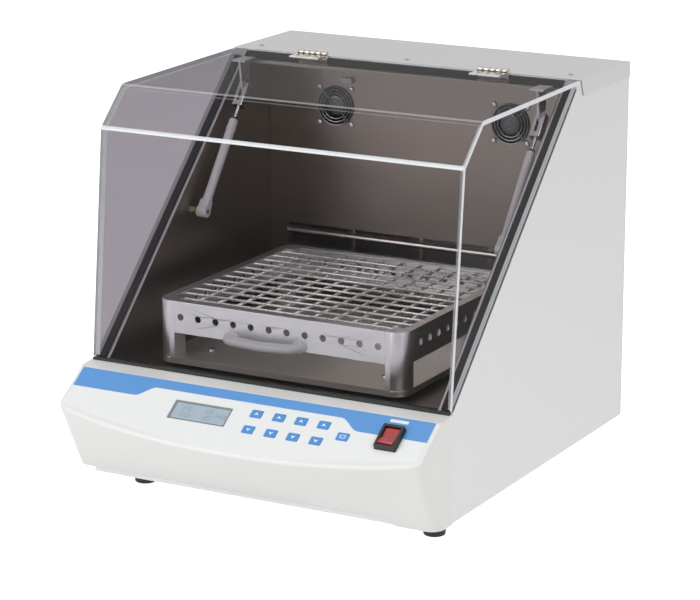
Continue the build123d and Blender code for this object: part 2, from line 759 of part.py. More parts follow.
with BuildPart() as platform_plate:
    with BuildSketch(Plane.XY.offset(PLATE_Z)):
        with Locations((TRAY_X, TRAY_Y)):
            RectangleRounded(2 * TRAY_HALF_X, 2 * TRAY_HALF_Y, 20)
    extrude(amount=PLATE)
    with BuildSketch(Plane.XY.offset(PLATE_Z)):
        with Locations(*drive_pins):
            Circle(CRANK_PIN_R + RUN)
    extrude(amount=7, mode=Mode.SUBTRACT)

# corner posts: hollow columns with a round outer corner, closed on top
with BuildPart() as tray_posts:
    with BuildSketch(Plane.XY.offset(PLATE_TOP)) as column:
        with Locations((east - POST / 2, south + POST / 2)):
            Rectangle(POST, POST)
        fillet(column.vertices().sort_by(Axis.X)[-2:].sort_by(Axis.Y)[0], radius=20)
    extrude(amount=TRAY_TOP - PLATE_TOP)
    with BuildSketch(Plane.XY.offset(PLATE_TOP)) as core:
        with Locations((east - POST / 2, south + POST / 2)):
            Rectangle(POST - 5, POST - 5)
        fillet(core.vertices().sort_by(Axis.X)[-2:].sort_by(Axis.Y)[0], radius=17.5)
    extrude(amount=TRAY_TOP - PLATE_TOP - 2, mode=Mode.SUBTRACT)
    mirror(about=tray_mid_x)
    mirror(about=tray_mid_y)

RAIL_T = 2.0
RAIL_LIP = 13.0
RAIL_X = TRAY_HALF_X - POST  # half lengths of the rails between posts
RAIL_Y = TRAY_HALF_Y - POST

# front rail: web and inward lip in one angle, a row of twelve holes
with BuildPart() as tray_rail_front:
    with BuildSketch(Plane.YZ.offset(TRAY_X - RAIL_X)):
        Polygon(
            (south, RAIL_Z),
            (south + RAIL_T, RAIL_Z),
            (south + RAIL_T, TRAY_TOP - 1.5),
            (south + RAIL_LIP, TRAY_TOP - 1.5),
            (south + RAIL_LIP, TRAY_TOP),
            (south, TRAY_TOP),
            align=None,
        )
    extrude(amount=2 * RAIL_X)
    with BuildSketch(Plane.XZ.offset(-south)):
        with Locations((TRAY_X, 216)):
            with GridLocations(26.6, 0, 12, 1):
                Circle(4.5)
    extrude(amount=-RAIL_T, mode=Mode.SUBTRACT)

with BuildPart() as tray_rail_back:
    mirror(tray_rail_front.part, about=tray_mid_y)

with BuildPart() as tray_rail_right:
    with BuildSketch(Plane.XZ.offset(-(TRAY_Y - RAIL_Y))):
        Polygon(
            (east, RAIL_Z),
            (east - RAIL_T, RAIL_Z),
            (east - RAIL_T, TRAY_TOP - 1.5),
            (east - RAIL_LIP, TRAY_TOP - 1.5),
            (east - RAIL_LIP, TRAY_TOP),
            (east, TRAY_TOP),
            align=None,
        )
    extrude(amount=-2 * RAIL_Y)
    with BuildSketch(Plane.YZ.offset(east - RAIL_T)):
        with Locations((TRAY_Y, 216)):
            with GridLocations(25.0, 0, 11, 1):
                Circle(4.5)
    extrude(amount=RAIL_T, mode=Mode.SUBTRACT)

with BuildPart() as tray_rail_left:
    mirror(tray_rail_right.part, about=tray_mid_x)

# spring grid: one layer front to back, one layer across it, end to end between the rails
SPRINGS_Y_PITCH = 28.75
SPRINGS_X_PITCH = 25.8
with BuildPart() as tray_springs:
    with BuildSketch(Plane.XZ.offset(-(south + RAIL_T))):
        with Locations((TRAY_X, 228.8)):
            with GridLocations(SPRINGS_Y_PITCH, 0, 11, 1):
                Circle(SPRING_D / 2)
    extrude(amount=-2 * (TRAY_HALF_Y - RAIL_T))
    with BuildSketch(Plane.YZ.offset(west + RAIL_T)):
        with Locations((TRAY_Y, 233)):
            with GridLocations(SPRINGS_X_PITCH, 0, 12, 1):
                Circle(SPRING_D / 2)
    extrude(amount=2 * (TRAY_HALF_X - RAIL_T))

# bow handle on the front rail, left of its middle, the grip sagging a little
HANDLE_X = TRAY_X - 18
HANDLE_Z = 200.5
with BuildPart() as tray_handle:
    with BuildSketch(Plane.XZ.offset(-south)):
        with Locations((HANDLE_X, HANDLE_Z)):
            with GridLocations(100, 0, 2, 1):
                Circle(9)
    extrude(amount=5)
    with BuildLine():
        FilletPolyline(
            (HANDLE_X - 50, south - 3, HANDLE_Z),
            (HANDLE_X - 50, south - 17, HANDLE_Z),
            (HANDLE_X, south - 17, HANDLE_Z - 3),
            (HANDLE_X + 50, south - 17, HANDLE_Z),
            (HANDLE_X + 50, south - 3, HANDLE_Z),
            radius=[9, 60, 9],
        )
    with BuildSketch(Plane(origin=(HANDLE_X - 50, south - 3, HANDLE_Z), z_dir=(0, -1, 0))):
        Circle(6.4)
    sweep()

# ---------------------------------------------------------------- drive under the chamber

with BuildPart() as drive_chassis:
    with BuildSketch(Plane.XY.offset(DECK_Z)):
        with Locations((0, ORBIT_Y - 5)):
            RectangleRounded(330, 270, 12)
    extrude(amount=6)
    with BuildSketch(Plane.XY.offset(98)):
        with Locations(*drive_axes):
            Circle(18)
    extrude(amount=26)
    with BuildSketch(Plane.XY.offset(TABLE + SHEET)):
        with Locations((0, ORBIT_Y - 5)):
            with GridLocations(300, 240, 2, 2):
                Rectangle(24, 24)
    extrude(amount=DECK_Z - TABLE - SHEET)
    with BuildSketch(Plane.XY.offset(98)):
        with Locations(*drive_axes):
            Circle(SHAFT_R + RUN)
    extrude(amount=26, mode=Mode.SUBTRACT)

# drive motor hung under the middle bearing housing
with BuildPart() as drive_motor:
    with BuildSketch(Plane.XY.offset(34)):
        with Locations((0, ORBIT_Y)):
            Circle(46)
    extrude(amount=60)
    with BuildSketch(Plane.XY.offset(94)):
        with Locations((0, ORBIT_Y)):
            RectangleRounded(80, 80, 8)
    extrude(amount=4)
    with BuildSketch(Plane.XY.offset(98)):
        with Locations((0, ORBIT_Y)):
            Circle(SHAFT_R + RUN)
    extrude(amount=-16, mode=Mode.SUBTRACT)

CRANK_Z = 124.3
WEB_TOP = 134.0

# drive crank: shaft, web with a counterweight away from the pin, and the eccentric pin
with BuildPart() as drive_crank:
    with BuildSketch(Plane.XY.offset(82.5)):
        with Locations((0, ORBIT_Y)):
            Circle(SHAFT_R)
    extrude(amount=CRANK_Z - 82.5)
    with BuildSketch(Plane.XY.offset(CRANK_Z)):
        with BuildLine():
            CenterArc((0, ORBIT_Y), 62, -60, 120)
            CenterArc((0, ORBIT_Y), 24, 100, 160)
            Line((62 * cos(radians(60)), ORBIT_Y + 62 * sin(radians(60))), (24 * cos(radians(100)), ORBIT_Y + 24 * sin(radians(100))))
            Line((62 * cos(radians(60)), ORBIT_Y - 62 * sin(radians(60))), (24 * cos(radians(100)), ORBIT_Y - 24 * sin(radians(100))))
        make_face()
    extrude(amount=WEB_TOP - CRANK_Z)
    with BuildSketch(Plane.XY.offset(WEB_TOP)):
        with Locations(drive_pins[0]):
            Circle(CRANK_PIN_R)
    extrude(amount=PIN_TOP - WEB_TOP)


def idler_at(spot, pin, name):
    """Idler crank: shaft, round web and eccentric pin, keeping the platform square."""
    with BuildPart() as idler:
        with BuildSketch(Plane.XY.offset(98)):
            with Locations(spot):
                Circle(SHAFT_R)
        extrude(amount=CRANK_Z - 98)
        with BuildSketch(Plane.XY.offset(CRANK_Z)):
            with Locations(spot):
                Circle(24)
        extrude(amount=WEB_TOP - CRANK_Z)
        with BuildSketch(Plane.XY.offset(WEB_TOP)):
            with Locations(pin):
                Circle(CRANK_PIN_R)
        extrude(amount=PIN_TOP - WEB_TOP)
    idler.part.label = name
    return idler


idlers = [
    idler_at(spot, pin, f"idler_crank_{i}")
    for i, (spot, pin) in enumerate(zip(drive_axes[1:], drive_pins[1:]), start=1)
]

# ---------------------------------------------------------------- files

singles = {
    "base_pan": base_pan,
    "feet": feet,
    "side_panel_right": side_panel_right,
    "top_cover": top_cover,
    "back_panel": back_panel,
    "power_inlet": power_inlet,
    "front_fascia": front_fascia,
    "control_overlay": control_overlay,
    "display_module": display_module,
    "rocker_frame": rocker_frame,
    "rocker": rocker,
    "chamber_wall_right": chamber_wall_right,
    "chamber_floor": chamber_floor,
    "chamber_header": chamber_header,
    "duct_panel": duct_panel,
    "fan_frames": fan_frames,
    "fan_guards": fan_guards,
    "sensor_clip": sensor_clip,
    "mouth_gasket": mouth_gasket,
    "lid_canopy": lid_canopy,
    "lid_side_right": lid_side_right,
    "cabinet_hinge_leaves": cabinet_hinge_leaves,
    "lid_hinge_leaves": lid_hinge_leaves,
    "strut_cylinder_right": strut_cylinder_right,
    "strut_rod_right": strut_rod_right,
    "strut_brackets": strut_brackets,
    "strut_studs": strut_studs,
    "platform_plate": platform_plate,
    "tray_posts": tray_posts,
    "tray_rail_front": tray_rail_front,
    "tray_rail_back": tray_rail_back,
    "tray_rail_left": tray_rail_left,
    "tray_rail_right": tray_rail_right,
    "tray_springs": tray_springs,
    "tray_handle": tray_handle,
    "drive_chassis": drive_chassis,
    "drive_motor": drive_motor,
    "drive_crank": drive_crank,
}
for name, piece in singles.items():
    piece.part.label = name

pieces = list(singles.values())
pieces += [side_panel_left, chamber_wall_left, lid_side_left, strut_cylinder_left, strut_rod_left]
pieces += [fan_rotor_left, fan_rotor_right] + keys + idlers

os.makedirs("parts", exist_ok=True)
for piece in pieces:
    export_step(piece.part, f"parts/{piece.part.label}.step")
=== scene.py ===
"""Looks of an incubated benchtop shaker: finishes for its CAD pieces, the small pieces that CAD
leaves out, and a studio stage."""

import math

import bmesh
import bpy
from bpy.props import FloatProperty, FloatVectorProperty, PointerProperty
from mathutils import Matrix, Vector


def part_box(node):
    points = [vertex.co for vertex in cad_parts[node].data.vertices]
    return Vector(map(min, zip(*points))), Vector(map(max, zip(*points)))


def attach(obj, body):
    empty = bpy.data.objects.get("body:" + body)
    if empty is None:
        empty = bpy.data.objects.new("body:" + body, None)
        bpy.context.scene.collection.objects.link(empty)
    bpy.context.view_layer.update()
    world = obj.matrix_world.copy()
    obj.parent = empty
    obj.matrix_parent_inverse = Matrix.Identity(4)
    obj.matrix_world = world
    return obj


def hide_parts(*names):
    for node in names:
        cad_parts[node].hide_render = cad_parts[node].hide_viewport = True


bl_info = {
    "name": "Benchtop shaker looks",
    "version": (1, 0, 0),
    "blender": (4, 5, 0),
    "location": "View3D > Sidebar > Shaker",
    "description": "Finishes and small pieces for an incubated benchtop shaker",
    "category": "Object",
}

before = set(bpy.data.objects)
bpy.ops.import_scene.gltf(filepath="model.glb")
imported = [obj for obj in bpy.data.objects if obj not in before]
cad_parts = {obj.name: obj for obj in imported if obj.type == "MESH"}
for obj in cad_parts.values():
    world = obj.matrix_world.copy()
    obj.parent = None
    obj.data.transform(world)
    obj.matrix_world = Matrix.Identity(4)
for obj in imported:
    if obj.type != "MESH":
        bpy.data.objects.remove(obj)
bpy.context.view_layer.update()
MM = 0.001

# Datum planes of the cabinet in mm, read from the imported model
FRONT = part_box("side_panel_right")[0].y / MM
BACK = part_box("back_panel")[1].y / MM
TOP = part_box("top_cover")[1].z / MM
SHEET = 1.5
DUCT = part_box("duct_panel")[1].y / MM - SHEET

# Upper edge of the control face in mm, before the front plane and over the floor, and its slope
FACE_OUT, FACE_UP, SLOPE = 31.6, 154, math.radians(34.5)

# Middles of the pieces that come in pairs, of the tray and of the keys, in mm
FAN_X, FAN_Z = 135, 434
HINGE_X, STRUT_X = 137, 225
TRAY_X, TRAY_Y = -10, 7.3
KEY_COLUMNS, KEY_ROW_UP, KEY_ROW_DOWN = (17.9, 50.4, 82.1, 114.6), 30.7, 56.4

# Edges that turn by more than this are rounded on a CAD node, and shaded sharp on a piece
SHARP = math.radians(35)
# How far handling and moulding make a roughness vary
VARIES = 0.06

MATH = "ShaderNodeMath"
MIX = "ShaderNodeMixShader"


def srgb(code):
    """A hex sRGB colour as linear red, green and blue."""
    values = [int(code[i : i + 2], 16) / 255 for i in (1, 3, 5)]
    return tuple(v / 12.92 if v <= 0.04045 else ((v + 0.055) / 1.055) ** 2.4 for v in values)


def colour(name, code, description):
    """A colour property whose default is a hex sRGB colour."""
    return FloatVectorProperty(
        name=name,
        description=description,
        subtype="COLOR",
        size=3,
        min=0,
        max=1,
        default=srgb(code),
    )


# ------------------------------------------------------------------ what a user would change


class ShakerColours(bpy.types.PropertyGroup):
    """Colours of the shaker's materials"""

    cabinet: colour("Cabinet sheet", "#bfbebf", "Satin stainless sheet of the cabinet")
    liner: colour("Chamber liner", "#8a827b", "Bright stainless sheet of the chamber")
    fascia: colour("Fascia", "#e9e9e7", "Moulded front fascia")
    film: colour("Overlay film", "#eef0f0", "Printed film on the control face")
    band: colour("Overlay band", "#4f94d8", "Printed band and key caps")
    lid: colour("Lid", "#bfbbc0", "Light that the lid sheet lets through")
    # the lid's edge colour is a painted highlight, laid on its cut edges and on the canopy's bends
    lid_edge_highlight: colour("Lid edge", "#e2e5e7", "Polished cut edges of the lid")
    tray: colour("Tray", "#dcdddf", "Anodised tray")
    springs: colour("Springs", "#e6e5e2", "Wire of the spring grid")
    handle: colour("Handle", "#f8fafc", "Tray handle and sensor clip")
    rocker: colour("Rocker", "#a5121c", "Rocker of the mains switch")
    display: colour("Display", "#a7b9c6", "Display panel")


class ShakerSizes(bpy.types.PropertyGroup):
    """Sizes of the small pieces and of the camera's lens"""

    coil_pitch: FloatProperty(
        name="Coil pitch",
        description="Distance between the turns of a tray spring, drawn coarser than the real 1 mm",
        default=2.2 * MM,
        min=0.5 * MM,
        unit="LENGTH",
    )
    edge_round: FloatProperty(
        name="Edge round",
        description="Rounding of folded and sawn sheet edges",
        default=0.5 * MM,
        min=0.1 * MM,
        unit="LENGTH",
    )
    guard_wire: FloatProperty(
        name="Guard wire",
        description="Diameter of the fan guards' wire",
        default=1.9 * MM,
        min=0.5 * MM,
        unit="LENGTH",
    )
    lens: FloatProperty(
        name="Lens",
        description="Focal length of the camera",
        default=146.19,
        min=20,
        unit="CAMERA",
    )


# ------------------------------------------------------------------ node and mesh helpers


def add(tree, kind, inputs=None, **settings):
    """Adds a node, sets its settings, and sets or links its inputs."""
    made = tree.nodes.new(kind)
    for key, value in settings.items():
        setattr(made, key, value)
    for key, value in (inputs or {}).items():
        if isinstance(value, bpy.types.NodeSocket):
            tree.links.new(value, made.inputs[key])
        else:
            made.inputs[key].default_value = value
    return made


def surface(name, base, metallic, roughness, **extra):
    """A material with one Principled shader; returns it, its tree and the shader."""
    made = bpy.data.materials.new(name)
    made.use_nodes = True
    tree = made.node_tree
    shader = tree.nodes["Principled BSDF"]
    shader.inputs["Base Color"].default_value = (*base, 1)
    shader.inputs["Metallic"].default_value = metallic
    shader.inputs["Roughness"].default_value = roughness
    for key, value in extra.items():
        shader.inputs[key.replace("_", " ")].default_value = value
    made.diffuse_color = (*base, 1)
    return made, tree, shader


def grain(tree, shader, size_mm, rough, bump_mm, tint=None, detail=3):
    """Noise of a size in mm along X, Y and Z, which drives roughness, bump and tint."""
    place = add(tree, "ShaderNodeTexCoord")
    scaled = add(
        tree,
        "ShaderNodeMapping",
        {"Vector": place.outputs["Object"], "Scale": [1000 / s for s in size_mm]},
    )
    noise = add(
        tree, "ShaderNodeTexNoise", {"Vector": scaled.outputs[0], "Scale": 1.0, "Detail": detail}
    )
    if rough:
        # the noise seldom leaves the middle half of its range
        spread = add(
            tree,
            "ShaderNodeMapRange",
            {
                "Value": noise.outputs["Fac"],
                "From Min": 0.25,
                "From Max": 0.75,
                "To Min": rough[0],
                "To Max": rough[1],
            },
        )
        tree.links.new(spread.outputs[0], shader.inputs["Roughness"])
    if bump_mm:
        bump = add(
            tree,
            "ShaderNodeBump",
            {"Height": noise.outputs["Fac"], "Distance": bump_mm * MM, "Strength": 1.0},
        )
        tree.links.new(bump.outputs[0], shader.inputs["Normal"])
    if tint:
        ramp = add(tree, "ShaderNodeValToRGB", {"Fac": noise.outputs["Fac"]})
        ramp.color_ramp.elements[0].position = 0.3
        ramp.color_ramp.elements[1].position = 0.7
        ramp.color_ramp.elements[0].color = (*tint[0], 1)
        ramp.color_ramp.elements[1].color = (*tint[1], 1)
        tree.links.new(ramp.outputs[0], shader.inputs["Base Color"])


def seen_strength(tree, as_light, as_backdrop):
    """One strength where it only lights, and another where the eye, a mirror or glass sees it."""
    path = add(tree, "ShaderNodeLightPath")
    seen = add(
        tree,
        MATH,
        {0: path.outputs["Is Camera Ray"], 1: path.outputs["Is Glossy Ray"]},
        operation="ADD",
    )
    seen = add(
        tree,
        MATH,
        {0: seen.outputs[0], 1: path.outputs["Is Transmission Ray"]},
        operation="ADD",
        use_clamp=True,
    )
    strength = add(
        tree,
        "ShaderNodeMapRange",
        {"Value": seen.outputs[0], "To Min": as_light, "To Max": as_backdrop},
    )
    return strength.outputs[0]


def shade(base, factor):
    """A colour made lighter or darker."""
    return tuple(min(1, c * factor) for c in base)


def dress(nodes, material):
    """Gives CAD nodes one material."""
    for name in nodes:
        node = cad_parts[name]
        node.data.materials.clear()
        node.data.materials.append(material)


def ease(nodes, width, segments=2):
    """Rounds the sharp edges of CAD nodes by modifier only."""
    for name in nodes:
        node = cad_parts[name]
        weld = node.modifiers.new("weld", "WELD")
        weld.merge_threshold = 0.01 * MM
        bevel = node.modifiers.new("edge round", "BEVEL")
        bevel.width = width
        bevel.segments = segments
        bevel.limit_method = "ANGLE"
        bevel.angle_limit = SHARP
        bevel.use_clamp_overlap = True
        bevel.harden_normals = True


def piece(name, bm, material, body, smooth=True):
    """Turns a bmesh into a named piece that rides on a CAD body."""
    bmesh.ops.recalc_face_normals(bm, faces=bm.faces)
    mesh = bpy.data.meshes.new(name)
    bm.to_mesh(mesh)
    bm.free()
    mesh.materials.append(material)
    made = bpy.data.objects.new(name, mesh)
    bpy.context.scene.collection.objects.link(made)
    if smooth:
        mesh.shade_smooth()
        mesh.set_sharp_from_angle(angle=SHARP)
    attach(made, body)
    return made


def at(x, y, z):
    """A point given in millimetres."""
    return Vector((x, y, z)) * MM


def hoop(x, y, z, radius, count):
    """Points of an upright circle that faces the front, given in mm."""
    turns = [2 * math.pi * i / count for i in range(count)]
    return [at(x + radius * math.cos(t), y, z + radius * math.sin(t)) for t in turns]


def skin(bm, low, high):
    """Joins two rings of vertices with a band of faces."""
    for i in range(len(low)):
        j = (i + 1) % len(low)
        bm.faces.new((low[i], low[j], high[j], high[i]))


def turned(bm, profile, where, segments=24):
    """Revolves a profile of (radius, height) in mm about the Z axis of a placement."""
    rings = []
    for radius, height in profile:
        radius, height = radius * MM, height * MM
        if radius == 0:
            rings.append([bm.verts.new(where @ Vector((0, 0, height)))])
            continue
        ring = []
        for i in range(segments):
            turn = 2 * math.pi * i / segments
            spot = Vector((radius * math.cos(turn), radius * math.sin(turn), height))
            ring.append(bm.verts.new(where @ spot))
        rings.append(ring)
    for low, high in zip(rings, rings[1:]):
        for i in range(segments):
            j = (i + 1) % segments
            corners = [low[i % len(low)], low[j % len(low)]]
            corners += [high[j % len(high)], high[i % len(high)]]
            # a point on the axis counts once, so the band there is of triangles
            corners = list(dict.fromkeys(corners))
            if len(corners) > 2:
                bm.faces.new(corners)


def wire(bm, points, radius, closed=False, sides=8):
    """Sweeps a round wire along points, with parallel frames."""
    count = len(points)
    rings = []
    normal = None
    for i, point in enumerate(points):
        before = points[i - 1] if (closed or i) else points[i]
        after = points[(i + 1) % count] if (closed or i < count - 1) else points[i]
        ahead = (after - before).normalized()
        if normal is None:
            normal = ahead.orthogonal().normalized()
        normal = (normal - ahead * normal.dot(ahead)).normalized()
        side = ahead.cross(normal)
        ring = []
        for k in range(sides):
            turn = 2 * math.pi * k / sides
            spoke = math.cos(turn) * normal + math.sin(turn) * side
            ring.append(bm.verts.new(point + radius * spoke))
        rings.append(ring)
    pairs = list(zip(rings, rings[1:]))
    if closed:
        pairs.append((rings[-1], rings[0]))
    for low, high in pairs:
        skin(bm, low, high)
    if not closed:
        bm.faces.new(rings[0][::-1])
        bm.faces.new(rings[-1])


def along(origin, z_axis):
    """Placement at a point in metres with a given Z axis, for turned and flat pieces."""
    z = Vector(z_axis).normalized()
    x = Vector((1, 0, 0))
    x = (x - z * x.dot(z)).normalized()
    y = z.cross(x)
    return Matrix.Translation(Vector(origin)) @ Matrix((x, y, z)).transposed().to_4x4()


def control_face(x, v, height):
    """Placement on the control face: x across, v down the slope, height over the face, in mm."""
    normal = Vector((0, -math.sin(SLOPE), math.cos(SLOPE)))
    down = Vector((0, -math.cos(SLOPE), -math.sin(SLOPE)))
    edge = Vector((x * MM, (FRONT - FACE_OUT) * MM, FACE_UP * MM))
    return along(edge + down * v * MM + normal * height * MM, normal)


def plate(bm, outline, where, thick):
    """Extrudes a flat outline, in mm, by a thickness in mm, at a placement."""
    low = [bm.verts.new(where @ Vector((x * MM, y * MM, 0))) for x, y in outline]
    high = [bm.verts.new(where @ Vector((x * MM, y * MM, thick * MM))) for x, y in outline]
    bm.faces.new(low[::-1])
    bm.faces.new(high)
    skin(bm, low, high)


def framed(bm, rings, where):
    """Joins outlines at heights, both in mm, into a closed rim at a placement."""
    loops = [
        [bm.verts.new(where @ Vector((x * MM, y * MM, height * MM))) for x, y in outline]
        for outline, height in rings
    ]
    for low, high in zip(loops, loops[1:] + loops[:1]):
        skin(bm, low, high)


def rounded(width, height, radius, steps=4):
    """Outline of a rounded rectangle about its centre, in mm."""
    outline = []
    for cx, cy, start in ((1, 1, 0), (-1, 1, 90), (-1, -1, 180), (1, -1, 270)):
        for i in range(steps + 1):
            turn = math.radians(start + 90 * i / steps)
            x = cx * (width / 2 - radius) + radius * math.cos(turn)
            y = cy * (height / 2 - radius) + radius * math.sin(turn)
            outline.append((x, y))
    return outline


def screws(name, places, radius, height, material, body):
    """Domed screw heads with a round socket, radius and height in mm."""
    bm = bmesh.new()
    profile = [(1, 0), (1, 0.45), (0.86, 0.8), (0.55, 1), (0.42, 1), (0.4, 0.45), (0, 0.4)]
    shape = [(r * radius, h * height) for r, h in profile]
    for where in places:
        turned(bm, shape, where, 18)
    piece(name, bm, material, body)


# ------------------------------------------------------------------ finishes


def satin_stainless_sheet(base):
    """430 stainless sheet, dull-polished: broad soft reflections with a faint upright grain."""
    made, tree, shader = surface("satin stainless sheet", base, 1.0, 0.42)
    # polishing lines 0.6 mm apart and 80 mm long
    grain(tree, shader, (0.6, 0.6, 80), (0.36, 0.48), 0.004, (shade(base, 0.97), shade(base, 1.03)))
    return made


def bright_stainless_liner(base):
    """304 stainless, bright rolled: mirrors the tray softly, and is dark where it sees dark."""
    made, tree, shader = surface("bright rolled stainless", base, 1.0, 0.34)
    # rolling lines 14 mm apart and 300 mm long, coarser than real so that they show
    grain(tree, shader, (300, 300, 14), (0.32, 0.36), 0, (shade(base, 0.97), shade(base, 1.03)), 1)
    return made


def moulded_abs(base):
    """White ABS, injection moulded with a fine spark texture: soft broad highlights."""
    made, tree, shader = surface("moulded white ABS", base, 0.0, 0.38, IOR=1.54)
    # spark texture with 0.8 mm grain
    grain(tree, shader, (0.8, 0.8, 0.8), (0.33, 0.43), 0.006)
    return made


def printed_film(name, base):
    """Polyester film, screen printed on its back: an even colour under a satin skin."""
    made, tree, shader = surface(
        name, base, 0.0, 0.3, IOR=1.58, Coat_Weight=0.25, Coat_Roughness=0.15
    )
    # embossed grain of 0.5 mm
    grain(tree, shader, (0.5, 0.5, 0.5), (0.26, 0.34), 0.002)
    return made


def smoke_acrylic(name, sheet, edge, bent):
    """Cast smoke-tinted acrylic: clear grey faces, and cut edges and bends painted with a pale
    highlight.
    """
    index = 1.49
    # the pale edge colour is a painted highlight for the light that cut edges and bends gather in
    # the sheet
    made, tree, rim = surface(name, edge, 0.0, 0.12, IOR=index)
    # saw marks 2 mm apart left under the flame polish
    grain(tree, rim, (2, 2, 2), (0.08, 0.2), 0.004)
    # each face passes the square root of what the whole sheet passes
    face = tuple(math.sqrt(c) for c in sheet)
    clear = add(tree, "ShaderNodeBsdfTransparent", {"Color": (*face, 1)})
    gloss = add(tree, "ShaderNodeBsdfGlossy", {"Color": (0.14, 0.14, 0.14, 1), "Roughness": 0.03})
    fresnel = add(tree, "ShaderNodeFresnel", {"IOR": index})
    geometry = add(tree, "ShaderNodeNewGeometry")
    # only the side towards the eye mirrors: light that leaves a sheet isn't bent here
    outer = add(tree, MATH, {0: 1.0, 1: geometry.outputs["Backfacing"]}, operation="SUBTRACT")
    mirror = add(tree, MATH, {0: fresnel.outputs[0], 1: outer.outputs[0]}, operation="MULTIPLY")
    pane = add(tree, MIX, {0: mirror.outputs[0], 1: clear.outputs[0], 2: gloss.outputs[0]})
    place = add(tree, "ShaderNodeTexCoord")
    normal = add(tree, "ShaderNodeSeparateXYZ", {"Vector": place.outputs["Normal"]})
    across = add(tree, MATH, {0: normal.outputs["X"]}, operation="ABSOLUTE")
    if bent:
        cut = add(tree, MATH, {0: across.outputs[0], 1: 0.5}, operation="GREATER_THAN")
        lean = add(tree, MATH, {0: normal.outputs["Z"]}, operation="ABSOLUTE")
        # the two bends, told by how far the surface leans between the flat panes, and the strength
        # of the painted highlight laid on each in the pale edge colour
        for middle, spread, painted_highlight in ((0.9, 0.07, 0.3), (0.42, 0.2, 0.85)):
            near = {0: lean.outputs[0], 1: middle, 2: spread}
            bend = add(tree, MATH, near, operation="COMPARE")
            bend = add(tree, MATH, {0: bend.outputs[0], 1: painted_highlight}, operation="MULTIPLY")
            cut = add(tree, MATH, {0: cut.outputs[0], 1: bend.outputs[0]}, operation="MAXIMUM")
    else:
        cut = add(tree, MATH, {0: across.outputs[0], 1: 0.5}, operation="LESS_THAN")
    whole = add(tree, MIX, {0: cut.outputs[0], 1: pane.outputs[0], 2: rim.outputs[0]})
    # lamps and mirrored light reach the chamber as through clear acrylic
    path = add(tree, "ShaderNodeLightPath")
    lit = add(
        tree,
        MATH,
        {0: path.outputs["Is Shadow Ray"], 1: path.outputs["Is Glossy Ray"]},
        operation="MAXIMUM",
    )
    passing = add(tree, "ShaderNodeBsdfTransparent", {"Color": (0.93, 0.93, 0.93, 1)})
    lighted = add(tree, MIX, {0: lit.outputs[0], 1: whole.outputs[0], 2: passing.outputs[0]})
    tree.links.new(lighted.outputs[0], tree.nodes["Material Output"].inputs["Surface"])
    made.diffuse_color = (*sheet, 0.4)
    return made


def moulded_rubber():
    """Black EPDM, moulded: matte, a little grey where dust and light graze it."""
    made, tree, shader = surface("moulded EPDM rubber", srgb("#1b1b1c"), 0.0, 0.62)
    # bloom and dust in patches of 1.2 mm
    grain(tree, shader, (1.2, 1.2, 1.2), (0.55, 0.7), 0.02)
    return made


def moulded(name, code, roughness):
    """Moulded plastic or rubber, as its name says: grain of 0.7 mm and a dull sheen."""
    base = srgb(code)
    made, tree, shader = surface(name, base, 0.0, roughness)
    grain(tree, shader, (0.7, 0.7, 0.7), (roughness - VARIES, roughness + VARIES), 0.008)
    return made


def anodised_aluminium(base):
    """Extruded aluminium, satin anodised: pale, with drawing lines along each rail."""
    made, tree, shader = surface("satin anodised aluminium", base, 1.0, 0.34)
    # drawing lines 1.2 mm apart and 60 mm long
    grain(tree, shader, (60, 60, 1.2), (0.3, 0.42), 0.002, (shade(base, 0.94), shade(base, 1.04)))
    return made


def coiled_wire(base):
    """Zinc-plated spring wire, cold drawn: bright beads where each turn catches the light."""
    made, tree, shader = surface("drawn zinc-plated spring wire", base, 1.0, 0.28)
    # handling marks about 4 mm long
    grain(tree, shader, (4, 4, 4), (0.22, 0.36), 0.002, (shade(base, 0.88), shade(base, 1.08)))
    return made


def moulded_nylon(base):
    """Natural nylon, moulded: milky white, a little light passes under its skin."""
    made, tree, shader = surface("moulded natural nylon", base, 0.0, 0.32, Subsurface_Weight=0.15)
    shader.inputs["Subsurface Radius"].default_value = (2 * MM, 2 * MM, 2.4 * MM)
    # flow marks of 1.5 mm
    grain(tree, shader, (1.5, 1.5, 1.5), (0.26, 0.4), 0.01)
    return made


def plated(name, code, roughness):
    """Plated or drawn metal, as its name says: small clear reflections, handling marks of 3 mm."""
    base = srgb(code)
    made, tree, shader = surface(name, base, 1.0, roughness)
    grain(tree, shader, (3, 3, 3), (roughness - VARIES, roughness + VARIES), 0.002)
    return made


def powder_coat(name, code):
    """Powder coat over steel: orange-peel skin with bumps about 1 mm across."""
    base = srgb(code)
    made, tree, shader = surface(name, base, 0.0, 0.4)
    grain(tree, shader, (1.0, 1.0, 1.0), (0.35, 0.46), 0.015)
    return made


# ------------------------------------------------------------------ operators, one per group


